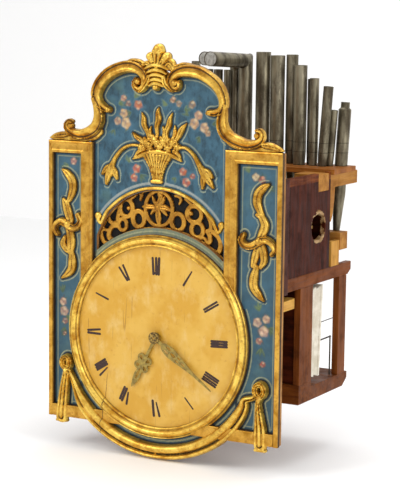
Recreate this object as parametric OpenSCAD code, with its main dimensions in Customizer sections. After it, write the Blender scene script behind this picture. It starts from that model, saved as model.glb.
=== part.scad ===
// Bracket organ clock: a carved, painted and gilded front board with a round dial,
// a spring-driven movement behind it, and a small pipe organ in an open walnut case.
// The front board hangs over the front edge of the shelf that the base board rests on.

/* [Facade] */
// Width of the front board over its gilt stiles
face_w = 600; // [590:1:640]
// Height of the side panels from the bottom edge to the top rail
face_h = 647; // [640:1:680]
// Thickness of the painted board
panel_t = 10; // [8:0.5:14]
// Thickness of the gilt frame mouldings on the board
frame_t = 12; // [10:0.5:14]
// How far the carvings stand in front of the frame
relief_t = 9; // [6:0.5:12]
// Width of the two outer stiles
outer_stile_w = 11; // [9:0.5:16]
// Width of the two inner stiles
inner_stile_w = 31; // [24:1:36]
// Height of the two top rails
top_rail_h = 28; // [22:1:34]
// Height of the bottom rail
bottom_rail_h = 28; // [20:1:34]
// Distance of the dial axis from the middle of the board, as the carver set it out
axis_x = -10; // [-14:1:-4]
// Distance from the dial axis to the inner edge of each inner stile
stile_reach = 171; // [168:1:176]

/* [Dial] */
// Height of the dial centre above the bottom edge of the board
dial_z = 214; // [208:1:220]
// Outer radius of the gilt bezel ring
bezel_r = 233; // [226:1:236]
// Visible radius of the dial
dial_r = 207; // [200:1:212]
// Thickness of the wooden dial
dial_t = 7; // [5:0.5:9]
// Length of the minute hand from its centre to its tip
minute_len = 181; // [170:1:195]
// Length of the hour hand from its centre to its tip
hour_len = 137; // [115:1:140]
// Angle of the minute hand clockwise from twelve
minute_angle = 126; // [0:0.5:360]
// Angle of the hour hand clockwise from twelve
hour_angle = 207.5; // [0:0.5:360]
// Thickness of each hand
hand_t = 2; // [1.5:0.25:2.5]

/* [Fret window] */
// Radius of the gilt arch over the pierced screen
arch_r = 178.5; // [174:0.5:184]
// Height of the centre of that arch
arch_z = 369.5; // [365:0.5:374]
// Width of the painted band between bezel and screen
band_w = 14; // [10:1:18]
// Thickness of the pierced screen
screen_t = 4; // [3:0.5:6]

/* [Movement] */
// Depth between the two movement plates
plate_gap = 47; // [46:0.5:52]
// Thickness of each movement plate
plate_t = 3; // [2.5:0.25:4]
// Depth of the motion work between the board and the front plate
motion_gap = 18; // [17:0.5:19]
// Tooth module of the going train
train_m = 1; // [0.96:0.01:1.02]
// Radius of the centre arbor
arbor_r = 2.5; // [2:0.1:2.8]
// Length of the pendulum from its arbor to the middle of the bob
pendulum_len = 190; // [160:1:200]
// Radius of the pendulum bob
bob_r = 26; // [20:1:30]

/* [Case] */
// How far the case sides lie inside the edges of the front board
case_inset = 5; // [3:0.5:8]
// Depth of the upper case behind the front board
case_d = 240; // [236:1:246]
// Thickness of the case sides
side_t = 12; // [10:0.5:14]
// Thickness of the beams, posts and brackets
plank_t = 15; // [13:0.5:17]
// Height of the side beams
beam_h = 29; // [24:1:34]
// Height of the upper case above the beams
upper_h = 221; // [216:1:226]
// Length of the side beams behind the front board
beam_d = 339; // [335:1:345]

/* [Base] */
// Height of the underside of the base above the bottom edge of the front board
drop = 72; // [66:1:78]
// Thickness of the base board
base_t = 32; // [26:1:38]
// Depth of the base board
base_d = 260; // [256:1:266]
// Gap between the back of the front board and the base board
base_gap = 93; // [90:1:96]
// Height of the open bay between the base board and the beams
bay_h = 233; // [228:1:238]

/* [Organ] */
// Height of the wind chest
chest_h = 40; // [34:1:46]
// Depth of the wind chest
chest_d = 40; // [36:1:44]
// Thickness of the rack board that the pipes stand in
rack_t = 12; // [10:0.5:15]
// Radius of the pinned organ barrel
barrel_r = 46; // [40:0.5:48]
// How far the pins stand out of the organ barrel
pin_h = 2.5; // [2:0.25:3]
// Number of keys over the organ barrel
key_count = 14; // [8:1:16]
// Width of the bellows
bellows_w = 200; // [180:1:210]

/* [Fits] */
// Radial clearance of a shaft in its bearing
shaft_fit = 0.06; // [0.03:0.01:0.09]
// Clearance between curved faces that only lie next to each other
near_fit = 0.3; // [0.2:0.05:0.5]

/* [Hidden] */
$fn = 64;
small = 0.01;
deep = 2000;

// Depth positions, measured from the front face of the gilt frame
panel_y = frame_t;
back_y = panel_y + panel_t;
plate1_y = back_y + motion_gap;
train_y = plate1_y + plate_t;
plate2_y = train_y + plate_gap;
rear_y = plate2_y + plate_t;
case_back_y = back_y + case_d;
base_y = back_y + base_gap;

// Heights, measured from the bottom edge of the front board
base_top = drop + base_t;
beam_z = base_top + bay_h;
floor_z = beam_z + beam_h;
case_top = floor_z + upper_h;
rack_z = case_top - 8;
rack_top = rack_z + rack_t;

// Half widths
half_w = face_w / 2;
half_case = half_w - case_inset;
case_w = 2 * half_case;
inner_case = half_case - side_t;
inner_plank = half_case - plank_t;

gold = "#c8962c";
blue = "#4f8096";
walnut = "#5a2414";
oak = "#7a4520";
deal = "#c8922e";
brass = "#b08a3a";
iron = "#4a4640";
lead = "#7a705c";

// Moves a piece drawn from the front bottom edge of the board to the base underside
module place() {
    translate([0, -(base_y + base_d / 2), -drop]) children();
}

// Stands a flat outline up parallel to the dial, from depth y over thickness t
module plate(y, t) {
    translate([0, y + t, 0]) rotate([90, 0, 0]) linear_extrude(t) children();
}

// Stands a flat outline of depth and height up as a slab, from x over thickness t
module slab(x, t) {
    translate([x, 0, 0]) rotate([90, 0, 90]) linear_extrude(t) children();
}

// A rod along the depth
module rod_y(x, z, r, y0, y1) {
    translate([x, y0, z]) rotate([-90, 0, 0]) cylinder(r = r, h = y1 - y0);
}

// A rod along the width
module rod_x(y, z, r, x0, x1) {
    translate([x0, y, z]) rotate([0, 90, 0]) cylinder(r = r, h = x1 - x0);
}

// A block between two corners
module block(x0, x1, y0, y1, z0, z1) {
    translate([x0, y0, z0]) cube([x1 - x0, y1 - y0, z1 - z0]);
}

// Both copies of a piece that stands on the left and the right
module both() {
    children();
    mirror([1, 0, 0]) children();
}

// A sector of a flat ring between two angles, less than a full turn
module ring_sector(r_in, r_out, a0, a1) {
    step = (a1 - a0) / 6;
    far = [for (i = [0:6]) 1.3 * r_out * [cos(a0 + i * step), sin(a0 + i * step)]];
    intersection() {
        difference() {
            circle(r_out);
            circle(r_in);
        }
        polygon(concat([[0, 0]], far));
    }
}

// A point on a smooth curve through p between its points i and i + 1
function curve_at(p, i, t) = let(
    n = len(p),
    a = p[max(i - 1, 0)],
    b = p[i],
    c = p[min(i + 1, n - 1)],
    d = p[min(i + 2, n - 1)]
) 0.5 * (2 * b + (c - a) * t + (2 * a - 5 * b + 4 * c - d) * t * t
    + (3 * b - a - 3 * c + d) * t * t * t);

// Points along that curve, steps of them between each pair
function smooth(p, steps = 4) = concat(
    [for (i = [0:len(p) - 2]) for (s = [0:steps - 1]) curve_at(p, i, s / steps)],
    [p[len(p) - 1]]
);

function unit(v) = v / max(norm(v), small);

// A flat band along a curve, widest in the middle
module band(path, w_end, w_mid) {
    p = smooth(path);
    n = len(p);
    dir = [for (i = [0:n - 1]) unit(p[min(i + 1, n - 1)] - p[max(i - 1, 0)])];
    half = [for (i = [0:n - 1]) (w_end + (w_mid - w_end) * sin(180 * i / (n - 1))) / 2];
    left = [for (i = [0:n - 1]) p[i] + half[i] * [-dir[i][1], dir[i][0]]];
    right = [for (i = [n - 1:-1:0]) p[i] - half[i] * [-dir[i][1], dir[i][0]]];
    polygon(concat(left, right));
}

// Outline of a leaf or petal from its base to its tip
module leaf(base, tip, w) {
    mid = 0.55 * tip + 0.45 * base;
    side = unit([base[1] - tip[1], tip[0] - base[0]]) * w / 2;
    there = smooth([base, mid + side, tip], 5);
    back = smooth([tip, mid - side, base], 5);
    polygon(concat(there, [for (i = [1:len(back) - 2]) back[i]]));
}

// A gear outline with its first tooth at the angle phase and low, slim teeth
module gear(n, m, phase) {
    pitch = 360 / n;
    root = m * (n / 2 - 0.85);
    tip = m * (n / 2 + 0.6);
    wide = 0.25 * pitch;
    thin = 0.1 * pitch;
    polygon([for (i = [0:n - 1]) for (e = [[root, -wide], [tip, -thin], [tip, thin], [root, wide]])
        e[0] * [cos(phase + i * pitch + e[1]), sin(phase + i * pitch + e[1])]]);
}

// A ratchet outline with saw teeth
module ratchet(n, r, depth) {
    pitch = 360 / n;
    polygon([for (i = [0:n - 1]) for (e = [[r - depth, 0], [r, 0.85 * pitch], [r - depth, 0.9 * pitch]])
        e[0] * [cos(i * pitch + e[1]), sin(i * pitch + e[1])]]);
}

// Half the width of the board that the carvings and pipes below were drawn for
crest_span = 300;
stretch = half_w / crest_span;

// Carried from the crest's axis to the two corners of the board, which lie unequally far away
function crest_x(u) = axis_x + u * (half_w + (u > 0 ? -axis_x : axis_x)) / crest_span;
function crest(side, p) = [for (q = p) [crest_x(side * q[0]), q[1]]];

crest_edge = [
    [158, face_h - 3], [158, 690], [160, 712], [160, 740], [156, 764],
    [144, 785], [124, 802], [96, 813], [66, 813], [40, 808]
];
upper_scroll = [
    [46, 800], [66, 815], [96, 816], [126, 804], [146, 785], [158, 762], [160, 744], [150, 728], [134, 722]
];
lower_scroll = [[167, 750], [164, 722], [166, 700], [174, 682], [190, 668], [212, 662], [234, 667]];
corner_leaf = [[222, face_h + 5], [262, face_h + 10], [298, face_h + 5]];

module crest_outline() {
    right = crest(1, crest_edge);
    left = crest(-1, crest_edge);
    n = len(left);
    polygon(concat(right, [for (i = [n - 1:-1:0]) left[i]]));
}

// The window behind the pierced screen, grown by e
module fret_window(e) {
    difference() {
        intersection() {
            translate([axis_x, arch_z]) circle(arch_r - 2 + e);
            translate([axis_x - stile_reach + 6 - e, dial_z]) square([2 * (stile_reach - 6 + e), deep]);
        }
        translate([axis_x, dial_z]) circle(bezel_r + band_w - e);
    }
}

module frame_outline() {
    difference() {
        union() {
            for (s = [-1, 1]) {
                x_out = s > 0 ? half_w - outer_stile_w : -half_w;
                x_in = axis_x + (s > 0 ? stile_reach : -stile_reach - inner_stile_w);
                rail_x = s > 0 ? x_in : -half_w;
                rail_w = s > 0 ? half_w - x_in : half_w + x_in + inner_stile_w;
                translate([x_out, 0]) square([outer_stile_w, face_h]);
                translate([x_in, dial_z + 90]) square([inner_stile_w, face_h - dial_z - 90]);
                translate([rail_x, face_h - top_rail_h]) square([rail_w, top_rail_h]);
            }
            translate([-half_w, 0]) square([face_w, bottom_rail_h]);
        }
        translate([axis_x, dial_z]) circle(bezel_r + near_fit / 2);
    }
}

module facade_panel() {
    color(blue) place() difference() {
        plate(panel_y, panel_t) union() {
            translate([-half_w + 1, 2]) square([face_w - 2, face_h - 4]);
            crest_outline();
            translate([axis_x, dial_z]) circle(swag_r_in + 16);
        }
        plate(panel_y - 1, panel_t + 2) fret_window(0);
        rod_y(axis_x, dial_z, hour_pipe_r + 4, panel_y - 1, back_y + 1);
    }
}

module facade_frame() {
    color(gold) place() plate(0, frame_t) frame_outline();
}

module crest_scrolls() {
    color(gold) place() for (s = [-1, 1]) {
        plate(-relief_t, frame_t + relief_t) difference() {
            union() {
                band(crest(s, upper_scroll), 16, 31);
                band(crest(s, lower_scroll), 15, 32);
                translate([crest_x(s * 47), 787]) circle(19);
                translate([crest_x(s * 240), 681]) circle(14);
                translate([crest_x(s * 130), 723]) circle(9);
                band(crest(s, corner_leaf), 8, 20);
            }
            translate([-deep, face_h - deep]) square([2 * deep, deep]);
        }
    }
}

module crest_finial() {
    color(gold) place() {
        plate(-relief_t, frame_t + relief_t) translate([axis_x, 0]) {
            polygon([
                [-26, 772], [-23, 786], [-24, 802], [-31, 828], [31, 828], [24, 802], [23, 786], [26, 772]
            ]);
            polygon([[-14, 826], [-13, 862], [13, 862], [14, 826]]);
            translate([0, 862]) circle(12);
            for (s = [-1, 1]) {
                translate([s * 20, 845]) circle(9);
                polygon([[s * 4, 826], [s * 6, 846], [s * 20, 854], [s * 26, 838], [s * 14, 826]]);
                translate([s * 27, 826]) circle(8);
            }
        }
        translate([axis_x - 4, -relief_t + 1, 776]) sphere(8);
    }
}

stems = [
    [[-50, 642], [-80, 645], [-105, 635], [-125, 612], [-132, 594]],
    [[36, 643], [58, 645], [78, 631], [95, 606], [108, 588]]
];
blooms = [[-136, 576], [118, 576]];
basket_side = [[16, 571], [17, 580], [22, 598], [34, 614], [58, 611], [60, 616], [34, 628], [0, 634]];
leaf_ends = [
    [[-4, 660], [-4, 731], 18], [[-24, 648], [-46, 714], 17], [[-30, 642], [-72, 672], 19],
    [[16, 656], [34, 716], 16], [[30, 650], [72, 698], 17]
];

module basket_relief() {
    n = len(basket_side);
    color(gold) place() plate(panel_y - relief_t, relief_t) union() {
        translate([axis_x - 3, 0]) polygon(concat([for (p = basket_side) p],
            [for (i = [n - 2:-1:0]) [-basket_side[i][0], basket_side[i][1]]]));
        translate([axis_x - 4, 651]) for (s = [-1:1]) translate([s * 26, -abs(s) * 2]) circle(24);
        for (l = leaf_ends) leaf([axis_x + l[0][0], l[0][1]], [axis_x + l[1][0], l[1][1]], l[2]);
        for (i = [0:1]) {
            band(stems[i], 8, 13);
            translate(blooms[i]) circle(18);
            for (s = [-1, 1]) translate(blooms[i] + [s * 9, -12]) circle(8);
        }
    }
}

loops = [
    [0, 505, 38, 43], [50, 479, 23, 28], [50, 528, 20, 18], [92, 499, 25, 27], [98, 461, 19, 20],
    [124, 478, 18, 23], [120, 438, 23, 25], [148, 450, 18, 22], [150, 420, 18, 22]
];

// A flat oval ring of width w
module oval(c, rx, rz, w) {
    outer = [for (i = [0:31]) c + [rx * cos(i * 11.25), rz * sin(i * 11.25)]];
    inner = [for (i = [0:31]) c + [(rx - w) * cos(i * 11.25), (rz - w) * sin(i * 11.25)]];
    difference() {
        polygon(outer);
        polygon(inner);
    }
}

module fretwork_screen() {
    color(gold) place() plate(back_y, screen_t) intersection() {
        fret_window(8);
        union() {
            difference() {
                fret_window(8);
                fret_window(-4);
            }
            for (l = loops) for (s = [-1, 1]) {
                if (l[0] > 0 || s > 0) oval([axis_x + s * l[0], l[1]], l[2], l[3], 7);
            }
            translate([axis_x - 4, 455]) square([8, 105]);
            translate([axis_x - 38, 503]) square([76, 8]);
        }
    }
}

module fret_arch() {
    color(gold) place() plate(panel_y - 8, 8) union() {
        translate([axis_x, arch_z]) ring_sector(arch_r - 1, arch_r + 8, 38, 142);
        for (s = [-1, 1]) translate([axis_x + s * 160, 479]) circle(9);
        for (s = [-1, 1]) translate([axis_x, 0]) polygon([
            for (q = [[146, 487], [137, 477], [149, 463], [162, 466], [158, 476]]) [s * q[0], q[1]]
        ]);
    }
}

module sound_cloth() {
    color("#15100c") place() plate(back_y + screen_t, 1) fret_window(8);
}

swag_r_in = 246;
swag_r_out = 281.5;
knots = [[-half_w + 46, 130], [half_w - 46, 126]];

module dial_bezel() {
    color(gold) place() difference() {
        union() {
            rod_y(axis_x, dial_z, bezel_r, -2, panel_y);
            rod_y(axis_x, dial_z, bezel_r - 6, -relief_t + 1, -2);
        }
        rod_y(axis_x, dial_z, dial_r, -deep / 2, deep / 2);
    }
}

module dial_plate() {
    color("#e3b840") place() difference() {
        rod_y(axis_x, dial_z, dial_r - near_fit, panel_y - dial_t, panel_y);
        rod_y(axis_x, dial_z, hour_pipe_r + 1.5, 0, deep);
    }
}

// Two flowing leaves and a cross scroll on each side
ribbons = [
    [[-268, 580], [-250, 566], [-238, 545], [-242, 522], [-256, 503], [-262, 486], [-250, 452]],
    [[-250, 452], [-258, 420], [-244, 398], [-240, 370], [-244, 346], [-267, 326]],
    [[265, 576], [246, 562], [238, 543], [242, 520], [252, 503], [255, 482], [246, 452]],
    [[246, 452], [258, 420], [243, 398], [236, 370], [240, 346], [253, 325]]
];
cross_scrolls = [
    [[-288, 434], [-280, 452], [-262, 456], [-238, 447], [-218, 454], [-218, 472]],
    [[203, 464], [206, 450], [224, 444], [246, 451], [268, 452], [284, 436]]
];

// Moved out or in with the sides of the board
function widen(p) = [for (q = p) [q[0] + (q[0] > 0 ? half_w - crest_span : crest_span - half_w), q[1]]];

module ribbon_reliefs() {
    color(gold) place() difference() {
        union() {
            plate(panel_y - relief_t, relief_t) for (r = ribbons) band(widen(r), 12, 22);
            plate(-relief_t / 2, panel_y + relief_t / 2) for (c = cross_scrolls) band(widen(c), 15, 17);
        }
        plate(-small, panel_y + 1) frame_outline();
    }
}

module swag_outline() {
    difference() {
        union() {
            translate([axis_x, dial_z]) ring_sector(swag_r_in, swag_r_out, 200, 340);
            for (k = knots) translate(k) circle(19);
            translate(knots[0]) polygon([
                [-8, 0], [-20, -70], [-28, -128], [-27, -143], [1, -143], [4, -90], [8, 0]
            ]);
            translate(knots[1]) polygon([[-8, 0], [-13, -142], [18, -142], [21, -106], [10, -56], [6, 0]]);
        }
        translate([axis_x, dial_z]) circle(bezel_r + 2);
    }
}

module drapery_swag() {
    color(gold) place() difference() {
        plate(-relief_t, panel_y + relief_t) swag_outline();
        plate(-small, panel_y + 1) frame_outline();
    }
}

lug_d = 80;

module facade_lugs() {
    color(deal) place() both() translate([half_w - 23, 0, beam_z - 41]) {
        block(-15, 15, back_y, back_y + lug_d - 15, 0, 22);
        translate([0, back_y + lug_d - 15, 0]) cylinder(r = 15, h = 22);
    }
}

// Motion work: twelve and thirty-six teeth, then twelve and forty-eight
motion_d = 24;
motion_m1 = 2 * motion_d / 48;
motion_m2 = 2 * motion_d / 60;
stud_r = 2;
cannon_r = 4.5;
hour_pipe_r = 7;
cannon_y = plate1_y - 5;
minute_wheel_y = cannon_y + 1;
hour_wheel_y = cannon_y - 4;
minute_hand_y = -6;
hour_hand_y = -1;
hub_w = 9;

// Turns a hand, drawn upright, to its angle on the dial
module hand(y, angle) {
    translate([axis_x, 0, dial_z]) rotate([0, angle, 0]) plate(y, hand_t) children();
}

module hour_hand() {
    color("#6f7a4e") place() hand(hour_hand_y, hour_angle) difference() {
        union() {
            circle(hour_pipe_r + 5);
            translate([-4, 0]) square([8, 62]);
            for (a = [45:90:315]) translate([0, 70] + 11 * [cos(a), sin(a)]) circle(12);
            leaf([0, 70], [0, hour_len], 18);
        }
        circle(hour_pipe_r + shaft_fit / 2);
        for (a = [45:90:315]) translate([0, 70] + 12 * [cos(a), sin(a)]) circle(5);
    }
}

module minute_hand() {
    w = 15;
    color("#6f7a4e") place() hand(minute_hand_y, minute_angle) difference() {
        union() {
            circle(cannon_r + 8);
            polygon([[-5, 0], [-w, 40], [-w, 62], [-4, minute_len - 36], [0, minute_len],
                [4, minute_len - 36], [w, 62], [w, 40], [5, 0]]);
        }
        circle(cannon_r + shaft_fit / 2);
        translate([0, 46]) circle(6);
        translate([0, 74]) circle(5);
        translate([0, 100]) circle(3.5);
    }
}

module hand_nut() {
    color("#5a5238") place() difference() {
        union() {
            rod_y(axis_x, dial_z, 13.5, minute_hand_y - 3, minute_hand_y);
            rod_y(axis_x, dial_z, 8, minute_hand_y - 5, minute_hand_y - 3);
        }
        rod_y(axis_x, dial_z, arbor_r + shaft_fit, minute_hand_y - 6, minute_hand_y + 1);
    }
}

// Places of the train's axes, from the dial axis
centre_teeth = 64;
great_teeth = 96;
third_teeth = 60;
pinion_teeth = 8;
great_d = train_m * (great_teeth + pinion_teeth) / 2;
great_angle = -40;
great_x = axis_x + great_d * cos(great_angle);
great_z = dial_z + great_d * sin(great_angle);
third_d = train_m * (centre_teeth + pinion_teeth) / 2;
third_z = dial_z + third_d;
escape_m = 0.9 * train_m;
escape_d = escape_m * (third_teeth + pinion_teeth) / 2;
escape_z = third_z + escape_d;
escape_r = 20;
pallet_angle = 42;
anchor_z = escape_z + escape_r / cos(pallet_angle);
pallet_gap = 1.4;

// Layers of the train between the plates
great_y = train_y + 3;
centre_y = train_y + 35;
third_y = train_y + 17;
escape_y = train_y + 27;
wheel_t = 2.5;
drum_d = 24;

great_arbor_r = 4;
square_half = 3;
plate_x0 = axis_x - 55;
plate_x1 = axis_x + 95;
plate_z0 = dial_z - 92;
plate_z1 = anchor_z + 16;
pillars = [
    [plate_x0 + 9, plate_z0 + 9], [plate_x1 - 9, plate_z0 + 9],
    [plate_x0 + 9, plate_z1 - 9], [plate_x1 - 9, plate_z1 - 9]
];

module plate_outline() {
    translate([plate_x0, plate_z0]) square([plate_x1 - plate_x0, plate_z1 - plate_z0]);
}

// Every bearing hole that both plates share, with its radius
bearings = [
    [axis_x, dial_z, arbor_r], [great_x, great_z, great_arbor_r],
    [axis_x, third_z, 1.5], [axis_x, escape_z, 1.5], [axis_x, anchor_z, 1.5]
];

module bearing_holes(y0, y1) {
    for (b = bearings) rod_y(b[0], b[1], b[2] + shaft_fit, y0, y1);
}

module front_plate() {
    color(brass) place() union() {
        difference() {
            plate(plate1_y, plate_t) plate_outline();
            bearing_holes(plate1_y - 1, plate1_y + plate_t + 1);
        }
        rod_y(axis_x + motion_d, dial_z, stud_r, hour_wheel_y - 4, plate1_y + small);
    }
}

clock_click_x = great_x + 17;
clock_click_z = great_z + 17;
cock_y = rear_y + 16;

module back_plate() {
    color(brass) place() union() {
        difference() {
            plate(plate2_y, plate_t) plate_outline();
            bearing_holes(plate2_y - 1, rear_y + 1);
        }
        rod_y(clock_click_x, clock_click_z, stud_r, rear_y - small, rear_y + 6);
        difference() {
            union() {
                block(axis_x - 26, axis_x + 26, cock_y, cock_y + 3, anchor_z - 7, anchor_z + 7);
                for (s = [-1, 1]) {
                    x = axis_x + s * 22;
                    block(x - 4, x + 4, rear_y - small, cock_y + small, anchor_z - 7, anchor_z + 7);
                }
            }
            rod_y(axis_x, anchor_z, 1.5 + shaft_fit, cock_y - 1, cock_y + 4);
        }
    }
}

module movement_pillars() {
    color(brass) place() for (p = pillars) {
        rod_y(p[0], p[1], 5, train_y, plate2_y);
        rod_y(p[0], p[1], 5, back_y, plate1_y);
    }
}

module centre_wheel() {
    color(brass) place() union() {
        rod_y(axis_x, dial_z, arbor_r, minute_hand_y - 4, rear_y);
        plate(great_y - 1, 6) translate([axis_x, dial_z])
            gear(pinion_teeth, train_m, great_angle + 180 / pinion_teeth);
        plate(centre_y, wheel_t) translate([axis_x, dial_z]) gear(centre_teeth, train_m, 90);
    }
}

module cannon_pinion() {
    color(brass) place() difference() {
        union() {
            rod_y(axis_x, dial_z, cannon_r, minute_hand_y, cannon_y + 4);
            plate(cannon_y, 4) translate([axis_x, dial_z]) gear(12, motion_m1, 0);
        }
        rod_y(axis_x, dial_z, arbor_r + shaft_fit / 2, minute_hand_y - 1, cannon_y + 5);
    }
}

module hour_wheel() {
    color(brass) place() difference() {
        union() {
            rod_y(axis_x, dial_z, hour_pipe_r, hour_hand_y, hour_wheel_y + 2);
            plate(hour_wheel_y, 2) translate([axis_x, dial_z]) gear(48, motion_m2, 0);
        }
        rod_y(axis_x, dial_z, cannon_r + shaft_fit, hour_hand_y - 1, hour_wheel_y + 3);
    }
}

module minute_wheel() {
    color(brass) place() difference() {
        union() {
            plate(minute_wheel_y, 2) translate([axis_x + motion_d, dial_z]) gear(36, motion_m1, 180 + 5);
            plate(hour_wheel_y - 1, 6) translate([axis_x + motion_d, dial_z]) gear(12, motion_m2, 180 + 15);
        }
        rod_y(axis_x + motion_d, dial_z, stud_r + shaft_fit, 0, deep);
    }
}

module great_wheel() {
    phase = great_angle + 180;
    color(brass) place() difference() {
        union() {
            plate(great_y, 3) translate([great_x, great_z]) gear(great_teeth, train_m, phase);
            rod_y(great_x, great_z, 38, great_y + 3, great_y + 3 + drum_d);
        }
        rod_y(great_x, great_z, great_arbor_r + shaft_fit, great_y - 1, great_y + 4 + drum_d);
    }
}

clock_ratchet_r = 14;

module barrel_arbor() {
    color(iron) place() union() {
        rod_y(great_x, great_z, great_arbor_r, plate1_y, rear_y + 5);
        plate(rear_y + 1, 3) translate([great_x, great_z]) ratchet(24, clock_ratchet_r, 1.8);
        block(great_x - square_half, great_x + square_half, rear_y + 5 - small, rear_y + 20,
            great_z - square_half, great_z + square_half);
    }
}

// A pivoted click whose nose lies just off its ratchet, drawn with its pivot at the origin
module click_outline(arm, gap_r) {
    difference() {
        union() {
            circle(5);
            polygon([[-3, -4], [-3, 4], [-arm, gap_r + 5], [-arm - 3, gap_r]]);
        }
        circle(stud_r + shaft_fit);
    }
}

module clock_click() {
    color(iron) place() plate(rear_y + 1, 3)
        translate([clock_click_x, clock_click_z]) click_outline(14, -2.6);
}

module third_wheel() {
    color(brass) place() union() {
        rod_y(axis_x, third_z, 1.5, plate1_y, rear_y);
        plate(centre_y - 1, 5) translate([axis_x, third_z])
            gear(pinion_teeth, train_m, -90 + 180 / pinion_teeth);
        plate(third_y, wheel_t) translate([axis_x, third_z]) gear(third_teeth, escape_m, 90);
    }
}

module escape_wheel() {
    color(brass) place() union() {
        rod_y(axis_x, escape_z, 1.5, plate1_y, rear_y);
        plate(third_y - 1, 5) translate([axis_x, escape_z])
            gear(pinion_teeth, escape_m, -90 + 180 / pinion_teeth);
        plate(escape_y, 2) translate([axis_x, escape_z]) ratchet(30, escape_r, 3.5);
    }
}

module anchor() {
    reach = escape_r + pallet_gap;
    color(iron) place() union() {
        rod_y(axis_x, anchor_z, 1.5, plate1_y, cock_y + 3);
        plate(escape_y - 0.5, 3) union() {
            difference() {
                translate([axis_x, anchor_z]) polygon([
                    [-4, 4], [4, 4], [19, -5], [20, -12], [-20, -12], [-19, -5]
                ]);
                translate([axis_x, escape_z]) circle(reach + 1.4);
            }
            for (s = [-1, 1]) translate([axis_x, escape_z]) rotate(90 - s * pallet_angle)
                translate([reach, -1.1]) square([4, 2.2]);
        }
    }
}

module pendulum() {
    bob_z = anchor_z - pendulum_len;
    color(brass) place() difference() {
        union() {
            rod_y(axis_x, anchor_z, 5, rear_y + 4, rear_y + 14);
            translate([axis_x, rear_y + 9, bob_z]) cylinder(r = 1.8, h = pendulum_len);
            rod_y(axis_x, bob_z, bob_r, rear_y + 5, rear_y + 13);
        }
        rod_y(axis_x, anchor_z, 1.5 + shaft_fit / 2, 0, deep);
    }
}

rail_y0 = case_back_y - 64;
rail_y1 = case_back_y - 9;
rail_h = 39;
rail_z = rack_z + 5 - rail_h;
stile_w = 24;
winding_y = 196;
winding_z = 465;

// The rough hole that the winding key goes in through
winding_hole = [
    [168, 452], [176, 440], [206, 436], [232, 445], [238, 466], [228, 488], [204, 497], [174, 490], [164, 472]
];

module side_panel() {
    difference() {
        block(inner_case, half_case, back_y + stile_w, case_back_y, floor_z, case_top);
        block(inner_case - 1, half_case + 1, rail_y0, rail_y1, rail_z, case_top + 1);
    }
}

module case_side_left() {
    color(walnut) place() mirror([1, 0, 0]) side_panel();
}

module case_side_right() {
    color(walnut) place() difference() {
        side_panel();
        slab(inner_case - 1, side_t + 2) polygon(winding_hole);
    }
}

module side_beams() {
    z0 = beam_z;
    y1 = back_y + stile_w + beam_d;
    color(oak) place() both() slab(inner_plank, plank_t) polygon([
        [back_y + stile_w, z0], [y1 - 18, z0], [y1, z0 + 10], [y1, z0 + beam_h], [back_y + stile_w, z0 + beam_h]
    ]);
}

module corner_stiles() {
    color(walnut) place() both()
        block(inner_case, half_case + 2, back_y, back_y + stile_w, beam_z - 4, case_top);
}

module case_floor() {
    color(oak) place() block(-inner_plank, inner_plank, back_y, case_back_y, floor_z - side_t, floor_z);
}

module case_back() {
    y0 = case_back_y - side_t;
    color(walnut) place() block(-inner_case, inner_case, y0, case_back_y, floor_z, floor_z + 124);
}

// Places of the organ's plates and wheels along the width
right_x = inner_case - 33;
left_x = 37 - inner_case;
middle_x = right_x - 90;
drive_x = middle_x + 10;
drum_x1 = middle_x - 8;

key_y = rail_y0 + 27;
key_z = winding_z + 55;
key_x0 = left_x + 38;
key_pitch = (drum_x1 - 48 - key_x0) / 13;
key_wire_r = 1.5;
key_x1 = key_x0 + key_pitch * (key_count - 1);

module cross_rail() {
    color(deal) place() union() {
        block(-half_case, half_case, rail_y0, rail_y1, rail_z, rail_z + rail_h / 3);
        both() block(half_case - 62, half_case, rail_y0, rail_y1, rail_z, rail_z + rail_h);
        for (x = [key_x0 - 14, key_x1 + 10]) block(x, x + 4, key_y - 6, key_y + 6, key_z - 6, rail_z + small);
        rod_x(key_y, key_z, key_wire_r, key_x0 - 12, key_x1 + 12);
    }
}

sill_h = 13;
post_d = 64;
rear_post_d = 40;
rear_post_y = base_y + base_d - 14 - rear_post_d;

module front_board() {
    color("#2c140c") place() difference() {
        block(-inner_plank, inner_plank, base_y + 5, base_y + 15, base_top + sill_h, floor_z - side_t);
        rod_y(great_x, great_z, 14, 0, deep);
    }
}

module front_sill() {
    color(oak) place() block(-half_case, half_case, base_y, base_y + post_d, base_top, base_top + sill_h);
}

module base_board() {
    y1 = base_y + base_d;
    color(oak) place() slab(-half_case, case_w) union() {
        polygon([[base_y, drop], [y1 - 24, drop], [y1, drop + 16], [y1, base_top], [base_y, base_top]]);
    }
}

module posts() {
    color(oak) place() both() {
        block(inner_plank, half_case, base_y, base_y + post_d, base_top + sill_h, beam_z);
        block(inner_plank, half_case, rear_post_y, rear_post_y + rear_post_d, base_top, beam_z);
    }
}

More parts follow.
